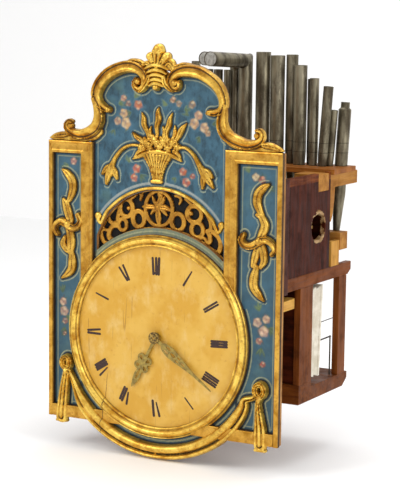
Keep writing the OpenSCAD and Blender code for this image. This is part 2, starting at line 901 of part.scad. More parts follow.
// Pipes: x at the rack, depth, radius, height of the top, lean, height of the foot joint, lean to the back
pipe_row = case_back_y + 68;
chest_y = pipe_row - 14;
chest_z = floor_z + 34;
chest_top = chest_z + chest_h;
foot_top = 622;
tip_r = 3.5;
last_pipe = [275, 30, 15, 722, 1.3, 525, 4];
last_toe_r = 8;
neck_r = 10.5;
neck_h = 17;
large_pipes = [
    [84, 0, 17.5, 850, 0, foot_top], [122, 0, 16.6, 843, 0, foot_top], [149.5, 20, 14, 845, 0, foot_top],
    [181, 0, 15.6, 822, 0, foot_top], [-97, 0, 10.8, 824, 0, foot_top], [-125, 2, 11, 796, 0, foot_top]
];
medium_pipes = [
    [217, 0, 11, 793, 0, foot_top], [199, 20, 8, 790, 0, foot_top], [243, -6, 11.6, 776, 4, foot_top],
    [-62, 0, 11, 806, 0, foot_top], [-36, 0, 11, 806, 0, foot_top], [-152, 0, 10.5, 770, 0, foot_top],
    [-178, 2, 10, 745, 0, foot_top]
];
small_pipes = [
    [253, 14, 9, 721, 4, foot_top], last_pipe, [12, -4, 7, 806, 0, foot_top],
    [-10, -4, 8, 806, 0, foot_top], [-203, 0, 9, 720, 0, foot_top], [-226, 2, 8.5, 700, 0, foot_top],
    [-248, 0, 8, 682, 0, foot_top], [-269, 2, 7.5, 668, 0, foot_top]
];
mitred_pipes = [[37, 0, 17, 828, 0, foot_top, 0, 165], [0, 24, 16, 828, 0, foot_top, 0, 151]];
pipe_wall = 1.2;
all_pipes = concat(large_pipes, medium_pipes, small_pipes, mitred_pipes);

function back_lean(p) = is_undef(p[6]) ? 0 : p[6];
function toe_r(p) = p == last_pipe ? last_toe_r : tip_r;
function tip_x(p) = p[0] * stretch - tan(p[4]) * (rack_top - chest_top);
function tip_y(p) = pipe_row + p[1] - tan(back_lean(p)) * (rack_top - chest_top);
function cone_r(p, z) = toe_r(p) + (p[2] - toe_r(p)) * min(1, (z - chest_top) / (p[5] - chest_top));

// A leaning pipe rests on the low side of its toe, so the toe's middle stands a little over the chest
function foot_lift(p) = 0.6 * toe_r(p) * sin(norm([p[4], back_lean(p)]));

// Moves a pipe drawn upright at the origin to its hole in the chest, with its lean
module stand(p) {
    translate([tip_x(p), tip_y(p), chest_top + foot_lift(p)]) rotate([-back_lean(p), p[4], 0]) children();
}

// The space that a pipe's foot needs, with room round it
module foot_space(p) {
    foot_h = p[5] - chest_top;
    stand(p) {
        cylinder(r1 = toe_r(p) + near_fit, r2 = p[2] + near_fit, h = foot_h);
        translate([0, 0, foot_h]) cylinder(r = p[2] + near_fit, h = 90);
    }
}

// One standing pipe: a conical foot, a round body with an open top, and a mouth at the back
module pipe(p) {
    foot_h = p[5] - chest_top;
    body_h = p[3] - p[5];
    stand(p) difference() {
        union() {
            cylinder(r1 = toe_r(p), r2 = p[2], h = foot_h);
            translate([0, 0, foot_h]) cylinder(r = p[2], h = body_h);
        }
        translate([0, 0, foot_h]) cylinder(r = p[2] - pipe_wall, h = body_h + 1);
        translate([-p[2] * 0.6, 0, foot_h + 1]) cube([p[2] * 1.2, p[2] + 1, p[2] * 0.5]);
    }
}

module rack_board() {
    color(oak) place() difference() {
        block(-half_case - 5, half_case + 7, case_back_y + 3, case_back_y + 123, rack_z, rack_top);
        for (p = all_pipes) stand(p) cylinder(r = cone_r(p, rack_top) + near_fit, h = 220);
    }
}

arm_h = 30;

module rack_brackets() {
    y0 = case_back_y;
    z0 = rack_z - arm_h;
    color(oak) place() difference() {
        both() slab(inner_plank, plank_t) polygon([
            [y0, rack_z], [y0 + 148, rack_z], [y0 + 148, z0], [y0 + 25, z0],
            [y0 + 21, z0 - 34], [y0 + 13, z0 - 66], [y0 + 5, z0 - 78], [y0, z0 - 78]
        ]);
        foot_space(last_pipe);
    }
}

module chest_posts() {
    color(deal) place() both() block(inner_case, half_case, chest_y - 43, chest_y, floor_z, chest_top - 16);
}

trunk_x = 26;
trunk_w = 30;
trunk_y = chest_y + 5;
trunk_z = beam_z - 110;

// The square wind trunk from the bellows to the chest, e inside its outer faces
module trunk(e) {
    x1 = trunk_x + trunk_w - e;
    y0 = bellows_y - trunk_w;
    z1 = trunk_z + trunk_w - e;
    block(trunk_x + e, x1, trunk_y + e, trunk_y + trunk_w - e, trunk_z + e, chest_z + 2 * e);
    block(trunk_x + e, x1, y0 + e, trunk_y + trunk_w - e, trunk_z + e, z1);
    block(trunk_x + e, bellows_x0 + trunk_w, y0 + e, bellows_y - e, trunk_z + e, z1);
    block(bellows_x0 + e, bellows_x0 + trunk_w - e, y0 + e, bellows_y + e / 4, trunk_z + e, z1);
}

module wind_chest() {
    wall = 6;
    y1 = chest_y + chest_d;
    color(oak) place() difference() {
        union() {
            block(-half_case, half_case + 2, chest_y, y1, chest_z, chest_top);
            block(key_x0 - 10, key_x1 + 10, chest_y - 22, chest_y + small, chest_z + 4, chest_top - 16);
            trunk(0);
        }
        trunk(4);
        block(-half_case + wall, half_case - wall, chest_y + wall, y1 - wall, chest_z + wall, chest_top - wall);
        for (p = all_pipes) translate([tip_x(p), tip_y(p), chest_top - 10]) cylinder(r = 2.2, h = 20);
    }
}

bellows_y = 186;
bellows_board_t = 8;
bellows_x1 = inner_plank + 5;
bellows_x0 = bellows_x1 - bellows_w;
bellows_z0 = base_top + sill_h;
bellows_z1 = beam_z - 10;
wedge_y = bellows_y + bellows_board_t;
wedge_low = 40;
wedge_top = 52;
leather_t = 2;

module bellows_front_board() {
    hole = trunk_w / 2 - 4;
    color("#d8cda0") place() difference() {
        block(bellows_x0, bellows_x1, bellows_y, wedge_y, base_top, bellows_z1);
        rod_y(bellows_x0 + trunk_w / 2, trunk_z + trunk_w / 2, hole, bellows_y - 1, wedge_y + 1);
    }
}

// The space between the two boards, e inside the leather and t past the boards
module wedge(e, t) {
    slab(bellows_x0 + e, bellows_w - 2 * e) polygon([
        [wedge_y - t, bellows_z0 + e], [wedge_y + wedge_low + t, bellows_z0 + e],
        [wedge_y + wedge_top + t, bellows_z1 - e], [wedge_y - t, bellows_z1 - e]
    ]);
}

module bellows_leather() {
    color("#d8cda0") place() difference() {
        wedge(0, 0);
        wedge(leather_t, 1);
    }
}

module bellows_rear_board() {
    t = bellows_board_t;
    color("#d8cda0") place() slab(bellows_x0, bellows_w) polygon([
        [wedge_y + wedge_low, bellows_z0], [wedge_y + wedge_low + t, bellows_z0],
        [wedge_y + wedge_top + t, bellows_z1], [wedge_y + wedge_top, bellows_z1]
    ]);
}

// Organ barrel and its gearing, turning about axes that run along the width
organ_y = 120;
organ_z = 455;
organ_teeth = 72;
spring_teeth = 48;
fly_teeth = 12;
organ_d = norm([winding_y - organ_y, winding_z - organ_z]);
organ_m = 2 * organ_d / (organ_teeth + spring_teeth);
organ_angle = atan2(winding_z - organ_z, winding_y - organ_y);
fly_d = organ_m * (organ_teeth + fly_teeth) / 2;
fly_angle = 120;
fly_y = organ_y + fly_d * cos(fly_angle);
fly_z = organ_z + fly_d * sin(fly_angle);
organ_arbor_r = 6;
drive_t = 4;
frame_plate_t = 6;
drum_x0 = left_x + 20;
spring_drum_r = 34;
fly_r = 2;
pin_rows = [
    for (i = [0:key_count - 1]) for (j = [0:3]) [key_x0 + i * key_pitch, (i * 47 + j * 90 + i * j * 11) % 360]
];

module organ_barrel() {
    color(deal) place() union() {
        rod_x(organ_y, organ_z, barrel_r, drum_x0, drum_x1);
        rod_x(organ_y, organ_z, organ_arbor_r, left_x, drive_x + drive_t);
        slab(drive_x, drive_t) translate([organ_y, organ_z]) gear(organ_teeth, organ_m, organ_angle);
        for (p = pin_rows) translate([p[0], organ_y, organ_z]) rotate([p[1], 0, 0])
            translate([0, 0, barrel_r - 3]) cylinder(r = 1, h = pin_h + 3);
    }
}

organ_click_y = winding_y - 2;
organ_click_z = winding_z + 30;

module organ_frame() {
    z1 = organ_z + 62;
    t = frame_plate_t;
    color(brass) place() union() {
        difference() {
            union() {
                block(left_x, left_x + t, organ_y - 35, organ_y + 35, floor_z, organ_z + 20);
                block(middle_x, middle_x + t, fly_y - 18, winding_y + 32, floor_z, z1);
                block(right_x, right_x + t, fly_y - 18, winding_y + 32, floor_z, z1);
            }
            rod_x(organ_y, organ_z, organ_arbor_r + shaft_fit, left_x - 1, right_x - 1);
            rod_x(winding_y, winding_z, winding_r + shaft_fit, middle_x - 1, right_x + t + 1);
            rod_x(fly_y, fly_z, fly_r + shaft_fit, middle_x - 1, right_x + t + 1);
        }
        rod_x(organ_click_y, organ_click_z, stud_r, right_x + t - small, right_x + t + 8);
    }
}

module key_levers() {
    tail_y = chest_y - 14;
    nose_y = organ_y;
    color(deal) place() for (i = [0:key_count - 1]) {
        x = key_x0 + i * key_pitch;
        difference() {
            union() {
                block(x - 2, x + 2, nose_y - 6, tail_y + 3, key_z - 5, key_z + 3);
                block(x - 2, x + 2, nose_y - 2, nose_y + 2, organ_z + barrel_r + pin_h + 0.5, key_z - 4);
                block(x - 2, x + 2, tail_y - 3, tail_y + 3, chest_top - 11, key_z - 4);
            }
            rod_x(key_y, key_z, key_wire_r + shaft_fit, x - 3, x + 3);
        }
    }
}

winding_r = 5;

module organ_spring_barrel() {
    color(brass) place() difference() {
        union() {
            slab(drive_x, drive_t) translate([winding_y, winding_z])
                gear(spring_teeth, organ_m, organ_angle + 180 + 180 / spring_teeth);
            rod_x(winding_y, winding_z, 12, drive_x, drive_x + 12);
            rod_x(winding_y, winding_z, spring_drum_r, drive_x + 10, right_x - 4);
        }
        rod_x(winding_y, winding_z, winding_r + shaft_fit, middle_x, right_x);
    }
}

organ_ratchet_r = 18;

module winding_arbor() {
    x0 = right_x + frame_plate_t;
    color(iron) place() union() {
        rod_x(winding_y, winding_z, winding_r, middle_x, x0 + 8);
        slab(x0 + 1, 4) translate([winding_y, winding_z]) ratchet(24, organ_ratchet_r, 2.2);
        s = 3.5;
        block(x0 + 8 - small, inner_case - 2, winding_y - s, winding_y + s, winding_z - s, winding_z + s);
    }
}

module ratchet_click() {
    color("#d8d4c4") place() slab(right_x + frame_plate_t + 1, 4) translate([organ_click_y, organ_click_z])
        difference() {
            union() {
                circle(6);
                polygon([[1, 5], [4, 4], [14, -6], [16, -17.5], [11, -13.5], [4, -4], [0, -5]]);
            }
            circle(stud_r + shaft_fit);
        }
}

fly_phase = fly_angle + 180 + 180 / fly_teeth + (fly_angle - organ_angle) * organ_teeth / fly_teeth;

module fly() {
    color(brass) place() union() {
        rod_x(fly_y, fly_z, fly_r, middle_x, right_x + frame_plate_t);
        slab(drive_x - 1, 6) translate([fly_y, fly_z]) gear(fly_teeth, organ_m, fly_phase);
        block(drive_x + 14, right_x - 14, fly_y - 1, fly_y + 1, fly_z - 22, fly_z + 22);
    }
}

wire_x = inner_plank - 3;

// A bowed wire from the rear post that keeps the bellows shut
// Where the wedge of the bellows' rear board ends at this height
function board_y(z) = wedge_y + bellows_board_t + wedge_low
    + (wedge_top - wedge_low) * (z - bellows_z0) / (bellows_z1 - bellows_z0) + near_fit;

// Two iron springs that press the bellows: one let into the post, one bent down to the base
module spring_wires() {
    y_post = rear_post_y + 14;
    y_turn = rear_post_y - 5;
    low_r = 1.8;
    color(iron) place() {
        rod_x(y_post, 237, 1.1, wire_x, inner_plank);
        rod_y(wire_x, 237, 1.1, board_y(237), y_post);
        translate([wire_x, y_post, 237]) sphere(1.5);
        rod_y(wire_x, 195, low_r, board_y(195), y_turn);
        translate([wire_x, y_turn, 195]) sphere(1.4 * low_r);
        translate([wire_x, y_turn, base_top]) cylinder(r = low_r, h = 195 - base_top);
    }
}

// A bass pipe bent forward over the case so that it fits under a low ceiling
module mitred_pipe(p) {
    pipe([p[0], p[1], p[2], p[3] - p[2] / 3, 0, p[5]]);
    translate([p[0] * stretch, pipe_row + p[1], p[3]]) rotate([90 - 3, 0, -6]) {
        translate([0, 0, -p[2]]) difference() {
            cylinder(r = p[2], h = p[7]);
            translate([0, 0, -1]) cylinder(r = p[2] - pipe_wall, h = p[7] - 3);
        }
    }
}

module pipes_mitred() {
    color(lead) place() for (p = mitred_pipes) mitred_pipe(p);
}

module pipes_large() {
    color(lead) place() for (p = large_pipes) pipe(p);
}

module pipes_medium() {
    color(lead) place() for (p = medium_pipes) pipe(p);
}

// The narrower neck on top of a half-stopped pipe
module pipe_neck(p) {
    stand(p) translate([0, 0, p[3] - chest_top]) difference() {
        union() {
            cylinder(r1 = p[2], r2 = neck_r, h = 4);
            translate([0, 0, 4]) cylinder(r = neck_r, h = neck_h - 4);
        }
        translate([0, 0, -small]) cylinder(r = neck_r - pipe_wall, h = neck_h + 1);
    }
}

module pipes_small() {
    color(lead) place() {
        for (p = small_pipes) pipe(p);
        pipe_neck(last_pipe);
    }
}

facade_panel();
facade_frame();
crest_scrolls();
crest_finial();
basket_relief();
fretwork_screen();
fret_arch();
sound_cloth();
dial_bezel();
dial_plate();
ribbon_reliefs();
drapery_swag();
facade_lugs();
hour_hand();
minute_hand();
hand_nut();
front_plate();
back_plate();
movement_pillars();
centre_wheel();
cannon_pinion();
hour_wheel();
minute_wheel();
great_wheel();
barrel_arbor();
clock_click();
third_wheel();
escape_wheel();
anchor();
pendulum();
case_side_left();
case_side_right();
side_beams();
corner_stiles();
case_floor();
case_back();
cross_rail();
front_board();
front_sill();
base_board();
posts();
rack_board();
rack_brackets();
chest_posts();
wind_chest();
bellows_front_board();
bellows_rear_board();
bellows_leather();
organ_barrel();
organ_frame();
key_levers();
organ_spring_barrel();
winding_arbor();
ratchet_click();
fly();
spring_wires();
pipes_mitred();
pipes_large();
pipes_medium();
pipes_small();
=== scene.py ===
"""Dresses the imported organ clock: carved gilding, painted fields, dial, aged case and organ pipes."""

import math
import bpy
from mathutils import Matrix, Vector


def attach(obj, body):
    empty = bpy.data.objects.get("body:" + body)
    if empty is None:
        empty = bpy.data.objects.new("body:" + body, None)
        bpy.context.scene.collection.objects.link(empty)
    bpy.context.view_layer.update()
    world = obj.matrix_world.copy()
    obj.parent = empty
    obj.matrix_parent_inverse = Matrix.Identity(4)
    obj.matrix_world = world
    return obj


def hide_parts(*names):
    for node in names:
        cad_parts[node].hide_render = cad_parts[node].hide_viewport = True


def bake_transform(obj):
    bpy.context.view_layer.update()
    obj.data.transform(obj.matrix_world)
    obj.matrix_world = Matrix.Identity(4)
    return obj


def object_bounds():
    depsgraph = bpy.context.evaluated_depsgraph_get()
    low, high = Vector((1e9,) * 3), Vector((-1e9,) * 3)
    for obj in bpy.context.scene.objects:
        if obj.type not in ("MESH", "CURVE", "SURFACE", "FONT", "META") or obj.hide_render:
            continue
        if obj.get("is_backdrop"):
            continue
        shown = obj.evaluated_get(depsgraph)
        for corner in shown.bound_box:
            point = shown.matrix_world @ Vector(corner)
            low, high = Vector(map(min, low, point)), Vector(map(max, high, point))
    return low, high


bl_info = {
    "name": "Organ Clock Dressing",
    "version": (1, 0, 0),
    "blender": (4, 5, 0),
    "location": "View3D > Sidebar > Organ Clock",
    "description": "Carves, gilds and paints the front board and finishes the case and organ of the packed clock",
    "category": "Object",
}

import bpy
import numpy as np
from bpy.props import FloatProperty, FloatVectorProperty, PointerProperty
from mathutils import Matrix, Vector

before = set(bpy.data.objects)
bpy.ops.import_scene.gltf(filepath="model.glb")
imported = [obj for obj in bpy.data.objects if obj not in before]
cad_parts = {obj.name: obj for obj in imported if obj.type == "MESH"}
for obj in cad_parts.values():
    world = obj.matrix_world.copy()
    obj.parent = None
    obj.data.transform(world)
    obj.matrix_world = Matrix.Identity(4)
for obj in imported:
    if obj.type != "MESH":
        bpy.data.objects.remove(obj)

MM = 0.001
# The carver's drawing is in millimetres: x across the board, y into it, z up from its bottom edge.
# SHIFT carries it to the frame; AXIS is the dial's middle, and PANEL_Y the board's front.
SHIFT = Vector((0.0, -245.0, -72.0))
AXIS = (-10.0, 214.0)
PANEL_Y = 12.0
# Farther from any shape than the drawing reaches
FAR = 99.0


def place(x, y, z):
    """A point of the carver's drawing, in metres in the frame."""
    return Vector((x + SHIFT.x, y + SHIFT.y, z + SHIFT.z)) * MM


def linear(code):
    """A hex colour as linear red, green, blue and alpha."""
    parts = [int(code[i : i + 2], 16) / 255 for i in (1, 3, 5)]
    return tuple(p / 12.92 if p <= 0.04045 else ((p + 0.055) / 1.055) ** 2.4 for p in parts) + (1.0,)


class Socket:
    """An output of a node, with math nodes for its arithmetic."""

    def __init__(self, tree, socket):
        self.tree, self.socket = tree, socket

    def __add__(self, other):
        return self.tree.math("ADD", self, other)

    def __sub__(self, other):
        return self.tree.math("SUBTRACT", self, other)

    def __rsub__(self, other):
        return self.tree.math("SUBTRACT", other, self)

    def __mul__(self, other):
        return self.tree.math("MULTIPLY", self, other)

    def __abs__(self):
        return self.tree.math("ABSOLUTE", self)

    def peak(self, other):
        """The larger of the two."""
        return self.tree.math("MAXIMUM", self, other)

    def ramp(self, low, high, to_low=0.0, to_high=1.0):
        """Carries it from low..high to to_low..to_high, smoothly and clamped."""
        inputs = {"Value": self, "From Min": low, "From Max": high, "To Min": to_low, "To Max": to_high}
        return self.tree.add("MapRange", "Result", inputs, interpolation_type="SMOOTHSTEP")


class Tree:
    """A new material, with one short call for each node that the finishes share."""

    def __init__(self, name):
        self.mat = bpy.data.materials.new(name)
        self.mat.use_nodes = True
        self.mat.node_tree.nodes.clear()
        self.at = self.add("TexCoord", "Object")

    def node(self, kind, inputs=None, **settings):
        """Adds a shader node with its settings, and sets or links its inputs by name or number."""
        tree = self.mat.node_tree
        node = tree.nodes.new("ShaderNode" + kind)
        for name, value in settings.items():
            setattr(node, name, value)
        for name, value in (inputs or {}).items():
            if isinstance(value, Socket):
                tree.links.new(value.socket, node.inputs[name])
            else:
                node.inputs[name].default_value = value
        return node

    def add(self, kind, output, inputs=None, **settings):
        """Adds a shader node, and gives one of its outputs."""
        return Socket(self, self.node(kind, inputs, **settings).outputs[output])

    def math(self, how, a, b=0.0):
        return self.add("Math", 0, {0: a, 1: b}, operation=how)

    def axis(self, name):
        """How far along the object's x, y or z, in metres."""
        return self.add("SeparateXYZ", name, {0: self.at})

    def noise(self, size_mm, detail=3.0, stretch=(1, 1, 1), distort=0.0, rough=0.5):
        """Noise whose grains are about size_mm across, stretched along any axis."""
        scaled = self.add("Mapping", "Vector", {"Vector": self.at, "Scale": [1 / s for s in stretch]})
        grain = {"Scale": 1000.0 / size_mm, "Detail": detail, "Distortion": distort, "Roughness": rough}
        return self.add("TexNoise", "Fac", {"Vector": scaled, **grain})

    def mix(self, fac, a, b):
        """Mixes two colours, each another mix or a hex code."""
        a, b = (linear(colour) if isinstance(colour, str) else colour for colour in (a, b))
        return self.add("Mix", 2, {0: fac, 6: a, 7: b}, data_type="RGBA")

    def bump(self, height, depth_mm, strength=1.0):
        return self.add("Bump", "Normal", {"Height": height, "Distance": depth_mm * MM, "Strength": strength})

    def close(self, tone, **inputs):
        """Ends the tree with one surface shader of that colour, and gives the material."""
        named = {key.replace("_", " "): value for key, value in inputs.items()}
        self.node("OutputMaterial", {"Surface": self.add("BsdfPrincipled", "BSDF", {"Base Color": tone, **named})})
        return self.mat


# ---------------------------------------------------------------- materials


def gilding(name="water_gilding_on_bole", light="#e9bd54", deep="#a8741e", grime_and_shade="#3c200a", bole="#8a4f18"):
    """Water gilding: beaten leaf on red clay over gesso, burnished by hand.

    It gives a broken, silky glint on the ridges, brown dirt with painted shade in the hollows and on the carvings'
    walls, and red clay where it is rubbed.
    """
    t = Tree(name)
    wear_and_shade = t.add("Attribute", "Fac", attribute_name="wear_and_shade")
    dirt = t.noise(5, 4, rough=0.65)
    tone = t.mix(t.noise(31, 4, distort=0.6, rough=0.62).ramp(0.3, 0.66), deep, light)
    tone = t.mix(t.noise(11, rough=0.6).ramp(0.54, 0.72, 0.0, 0.5), tone, bole)
    rubbed_and_highlight = dirt.ramp(0.56, 0.66) * wear_and_shade.ramp(0.02, -0.25)
    tone = t.mix(rubbed_and_highlight * 0.4, tone, bole)
    # Painted shade with dirt: hollows, walls and backs are darkened towards the dark brown colour
    hollow = (wear_and_shade + dirt * 0.35).ramp(0.2, 0.8).peak(long_crack(t))
    clean = 1.0 - hollow.peak(rubbed_and_highlight * 0.6)
    return t.close(
        t.mix(hollow, tone, grime_and_shade),
        Metallic=clean * 0.88,
        Roughness=(clean - dirt * 0.3).ramp(0.0, 0.9, 0.8, 0.34),
        Normal=t.bump(t.noise(1.6) * 0.35 + dirt, 0.35, 0.7),
    )


def distemper():
    """Glue-bound blue distemper, brushed on gesso: matt, cloudy and rubbed.

    The colour deepens towards the foot of the board, and the paint attribute lays over it the lines and flowers,
    painted shade over the side fields and a painted shadow round the carvings.
    """
    t = Tree("blue_distemper_with_flowers")
    clouds = t.noise(34, 5, rough=0.6).ramp(0.34, 0.66)
    strokes = t.noise(7, 4, (1, 1, 2.4), rough=0.6)
    worn = t.noise(3.2, 5, rough=0.7)
    low = t.mix(clouds, "#163242", "#264e60")
    high = t.mix(clouds, "#204556", "#356075")
    tone = t.mix(t.axis("Z").ramp(0.0, 0.56), low, high)
    tone = t.mix(strokes.ramp(0.46, 0.74, 0.0, 0.6), tone, "#182c36")
    tone = t.mix(t.noise(52).ramp(0.56, 0.72, 0.0, 0.35), tone, "#56776a")
    painted, cover = (t.add("Attribute", output, attribute_name="paint") for output in ("Color", "Alpha"))
    tone = t.mix(cover * strokes.ramp(0.25, 0.6, 0.62, 1.0), tone, painted)
    return t.close(
        t.mix(worn.ramp(0.62, 0.72, 0.0, 0.6), tone, "#2c2018"),
        Roughness=strokes.ramp(0.3, 0.7, 0.5, 0.68),
        Normal=t.bump(strokes + worn, 0.25, 0.6),
    )


def long_crack(t):
    """The crack that runs from the dial's lower left through the bezel and the bottom rail."""
    top = place(-139, 0, 121)
    drop = t.axis("Z") - top.z
    off = t.axis("X") - top.x - drop * 0.105 + (t.noise(16) - 0.5) * 0.007
    return abs(off).ramp(0.0011, 0.0005, 0.0, 0.9) * drop.ramp(0.004, -0.02)


def dial_paint():
    """Oil paint on a limewood dial, ochre brushed over cream: semi-matt, blotched, and finely cracked up and down."""
    t = Tree("ochre_oil_paint_on_lime")
    brush_marks = t.noise(40, 4, (1, 1, 1.7), rough=0.62)
    tone = t.mix(t.noise(70, rough=0.55).ramp(0.36, 0.62), "#d8ab46", "#cd9a2a")
    tone = t.mix(brush_marks.ramp(0.48, 0.72, 0.0, 0.5), tone, "#e2c684")
    tone = t.mix(t.noise(9, 5).ramp(0.58, 0.8, 0.0, 0.4), tone, "#ae741e")
    veins = abs(t.noise(52, 1, (1, 1, 30)) - 0.5).ramp(0.004, 0.0)
    crack = (veins * t.noise(60, 2).ramp(0.5, 0.6, 0.0, 0.6)).peak(long_crack(t))
    return t.close(
        t.mix(crack, tone, "#7a4c14"),
        Roughness=brush_marks.ramp(0.3, 0.7, 0.42, 0.56),
        Normal=t.bump(brush_marks + t.noise(1.4) * 0.3 - crack, 0.2, 0.5),
    )


def plain_paint(name, code, other, size=8, rough=0.5, metallic=0.0):
    """A thin brushed coat: slightly uneven in tone and sheen, as a loaded brush leaves it."""
    t = Tree(name)
    cloud = t.noise(size, 4, rough=0.6)
    return t.close(
        t.mix(cloud.ramp(0.35, 0.65), code, other),
        Metallic=metallic,
        Roughness=cloud.ramp(0.3, 0.7, rough - 0.08, rough + 0.1),
        Normal=t.bump(cloud, 0.12, 0.6),
    )


def wood_grain(t, light, dark, pore, along, grain, dirt):
    """Growth bands and pores that run along one axis, and old stains over them: colour, bands, pores and stain."""
    wide, run = ([times if axis == along else 1 for axis in "xyz"] for times in (7, 26))
    bands = t.noise(grain * 4.5, 3, wide, 0.35)
    lines = t.noise(grain, 5, run, 0.2, 0.62)
    stain = t.noise(38, 4, rough=0.6)
    tone = t.mix((bands + lines * 0.6).ramp(0.55, 1.05), dark, light)
    tone = t.mix(lines.ramp(0.58, 0.72, 0.0, 0.6), tone, pore)
    return t.mix(stain.ramp(0.5, 0.72, 0.0, dirt), tone, pore), bands, lines, stain


def timber(name, light, dark, pore, along, grain=3.2, rough=0.45, dirt=0.35):
    """Planed and waxed wood: long soft streaks, fine dark pores, and a sheen that old dirt breaks up."""
    t = Tree(name)
    tone, bands, lines, stain = wood_grain(t, light, dark, pore, along, grain, dirt)
    return t.close(
        tone,
        Roughness=(lines + stain).ramp(0.8, 1.2, rough - 0.1, rough + 0.14),
        Specular_IOR_Level=0.1,
        Normal=t.bump(bands - lines, 0.35, 0.5),
    )


def broken_walnut():
    """Red-stained walnut with a polished skin, split open round the winding hole, and a lighter strip along its top
    that is a painted highlight.

    The skin gives a dull red sheen, and the breaks show pale, dry wood.
    """
    t = Tree("red_stained_walnut_split_open")
    tone, bands, lines, stain = wood_grain(t, *WALNUT, "z", 3.0, 0.6)
    raw, *_ = wood_grain(t, "#b89a72", "#7c5830", "#3c2410", "y", 2.6, 0.5)
    rubbed_and_highlight, *_ = wood_grain(t, "#7c4018", "#4a1e0c", "#220c06", "y", 2.4, 0.5)
    hole = place(0, 203, 466)
    across_y, across_z = t.axis("Y") - hole.y, t.axis("Z") - hole.z
    far = t.math("SQRT", across_y * across_y + across_z * across_z)
    open_wood = (far - t.noise(10, 3, (1, 2.6, 1)) * 0.034).ramp(0.0195, 0.018)
    # Painted highlight: a lighter strip along the top of the side, where its top edge catches the light
    strip = (t.axis("Z") + t.noise(20, 3, (1, 6, 1)) * 0.004).ramp(0.4985, 0.5)
    return t.close(
        t.mix(open_wood, t.mix(strip, tone, rubbed_and_highlight), raw),
        Roughness=(lines + stain).ramp(0.8, 1.2, 0.42, 0.6) + open_wood * 0.3,
        Specular_IOR_Level=0.06,
        Normal=t.bump(bands - lines - open_wood * 0.8, 0.5, 0.6),
    )


def metal(name, light, dark, patina, rough=0.35, metallic=1.0, size=9, amount=0.5):
    """Cast, turned or drawn metal: a clean glint broken by a dull, uneven film."""
    t = Tree(name)
    cloud, spots = t.noise(size, 4, rough=0.6), t.noise(size * 0.3)
    old = (cloud + spots * 0.4).ramp(0.62, 0.85, 0.0, amount)
    return t.close(
        t.mix(old, t.mix(cloud.ramp(0.35, 0.65), light, dark), patina),
        Metallic=(1.0 - old) * metallic,
        Roughness=cloud.ramp(0.3, 0.75, rough, rough + 0.25),
        Normal=t.bump(spots, 0.1, 0.5),
    )


def organ_metal():
    """Organ metal, tin and lead cast as sheet, planed and rolled: soft grey-brown, dented, with a dull oxide.

    Its seams, where the feet and the bodies were soldered, show as thin dark rings.
    """
    t = Tree("oxidised_organ_metal")
    cloud, spots = t.noise(20, 4, (1, 1, 4), rough=0.6), t.noise(4)
    tone = t.mix(cloud.ramp(0.35, 0.65), "#8a826c", "#5c5442")
    tone = t.mix(t.noise(60, 3, (1, 1, 2)).ramp(0.54, 0.7, 0.0, 0.5), tone, "#a8a08a")
    tone = t.mix((cloud + spots * 0.4).ramp(0.66, 0.9, 0.0, 0.6), tone, "#3a3024")
    foot, body, top = (abs(t.axis("Z") - level).ramp(0.0012, 0.0004, 0.0, 0.75) for level in (0.5195, 0.550, 0.5725))
    rings = foot.peak(body).peak(top)
    return t.close(
        t.mix(rings, tone, "#2e2820"),
        Metallic=spots.ramp(0.4, 0.8, 0.8, 0.55),
        Roughness=cloud.ramp(0.3, 0.75, 0.32, 0.55),
        Normal=t.bump(t.noise(42, 2, (1, 1, 1.6)) + spots * 0.06 - rings * 0.12, 3.0, 0.7),
    )


def cloth():
    """Plain-woven linen behind the fretwork, near black as painted shade for the dark inside of the case; its threads
    are drawn 1.2 mm apart so that they show.
    """
    t = Tree("dark_woven_linen")
    waves = {"Vector": t.at, "Scale": 260.0, "Distortion": 0.4}
    warp, weft = (t.add("TexWave", "Fac", waves, bands_direction=axis) for axis in "XZ")
    weave = warp.peak(weft)
    return t.close(t.mix(weave, "#040303", "#0e0a08"), Roughness=0.92, Normal=t.bump(weave, 0.2))


def tawed_leather():
    """Alum-tawed sheepskin: off-white, soft and matt, with dust along its folds."""
    t = Tree("alum_tawed_sheepskin")
    cloud = t.noise(24, 4, rough=0.6)
    tone = t.mix(cloud.ramp(0.35, 0.65), "#e4decf", "#cdc4b0")
    tone = t.mix(t.noise(9, 5, rough=0.7).ramp(0.58, 0.75, 0.0, 0.45), tone, "#968868")
    return t.close(tone, Roughness=0.78, Normal=t.bump(cloud + t.noise(1.3), 0.25, 0.6))


def studio(name, code):
    """Matt studio paper, which gives the eye nothing but the clock's shadow."""
    t = Tree(name)
    return t.close(t.mix(t.noise(300, 2), code, code), Roughness=0.8)


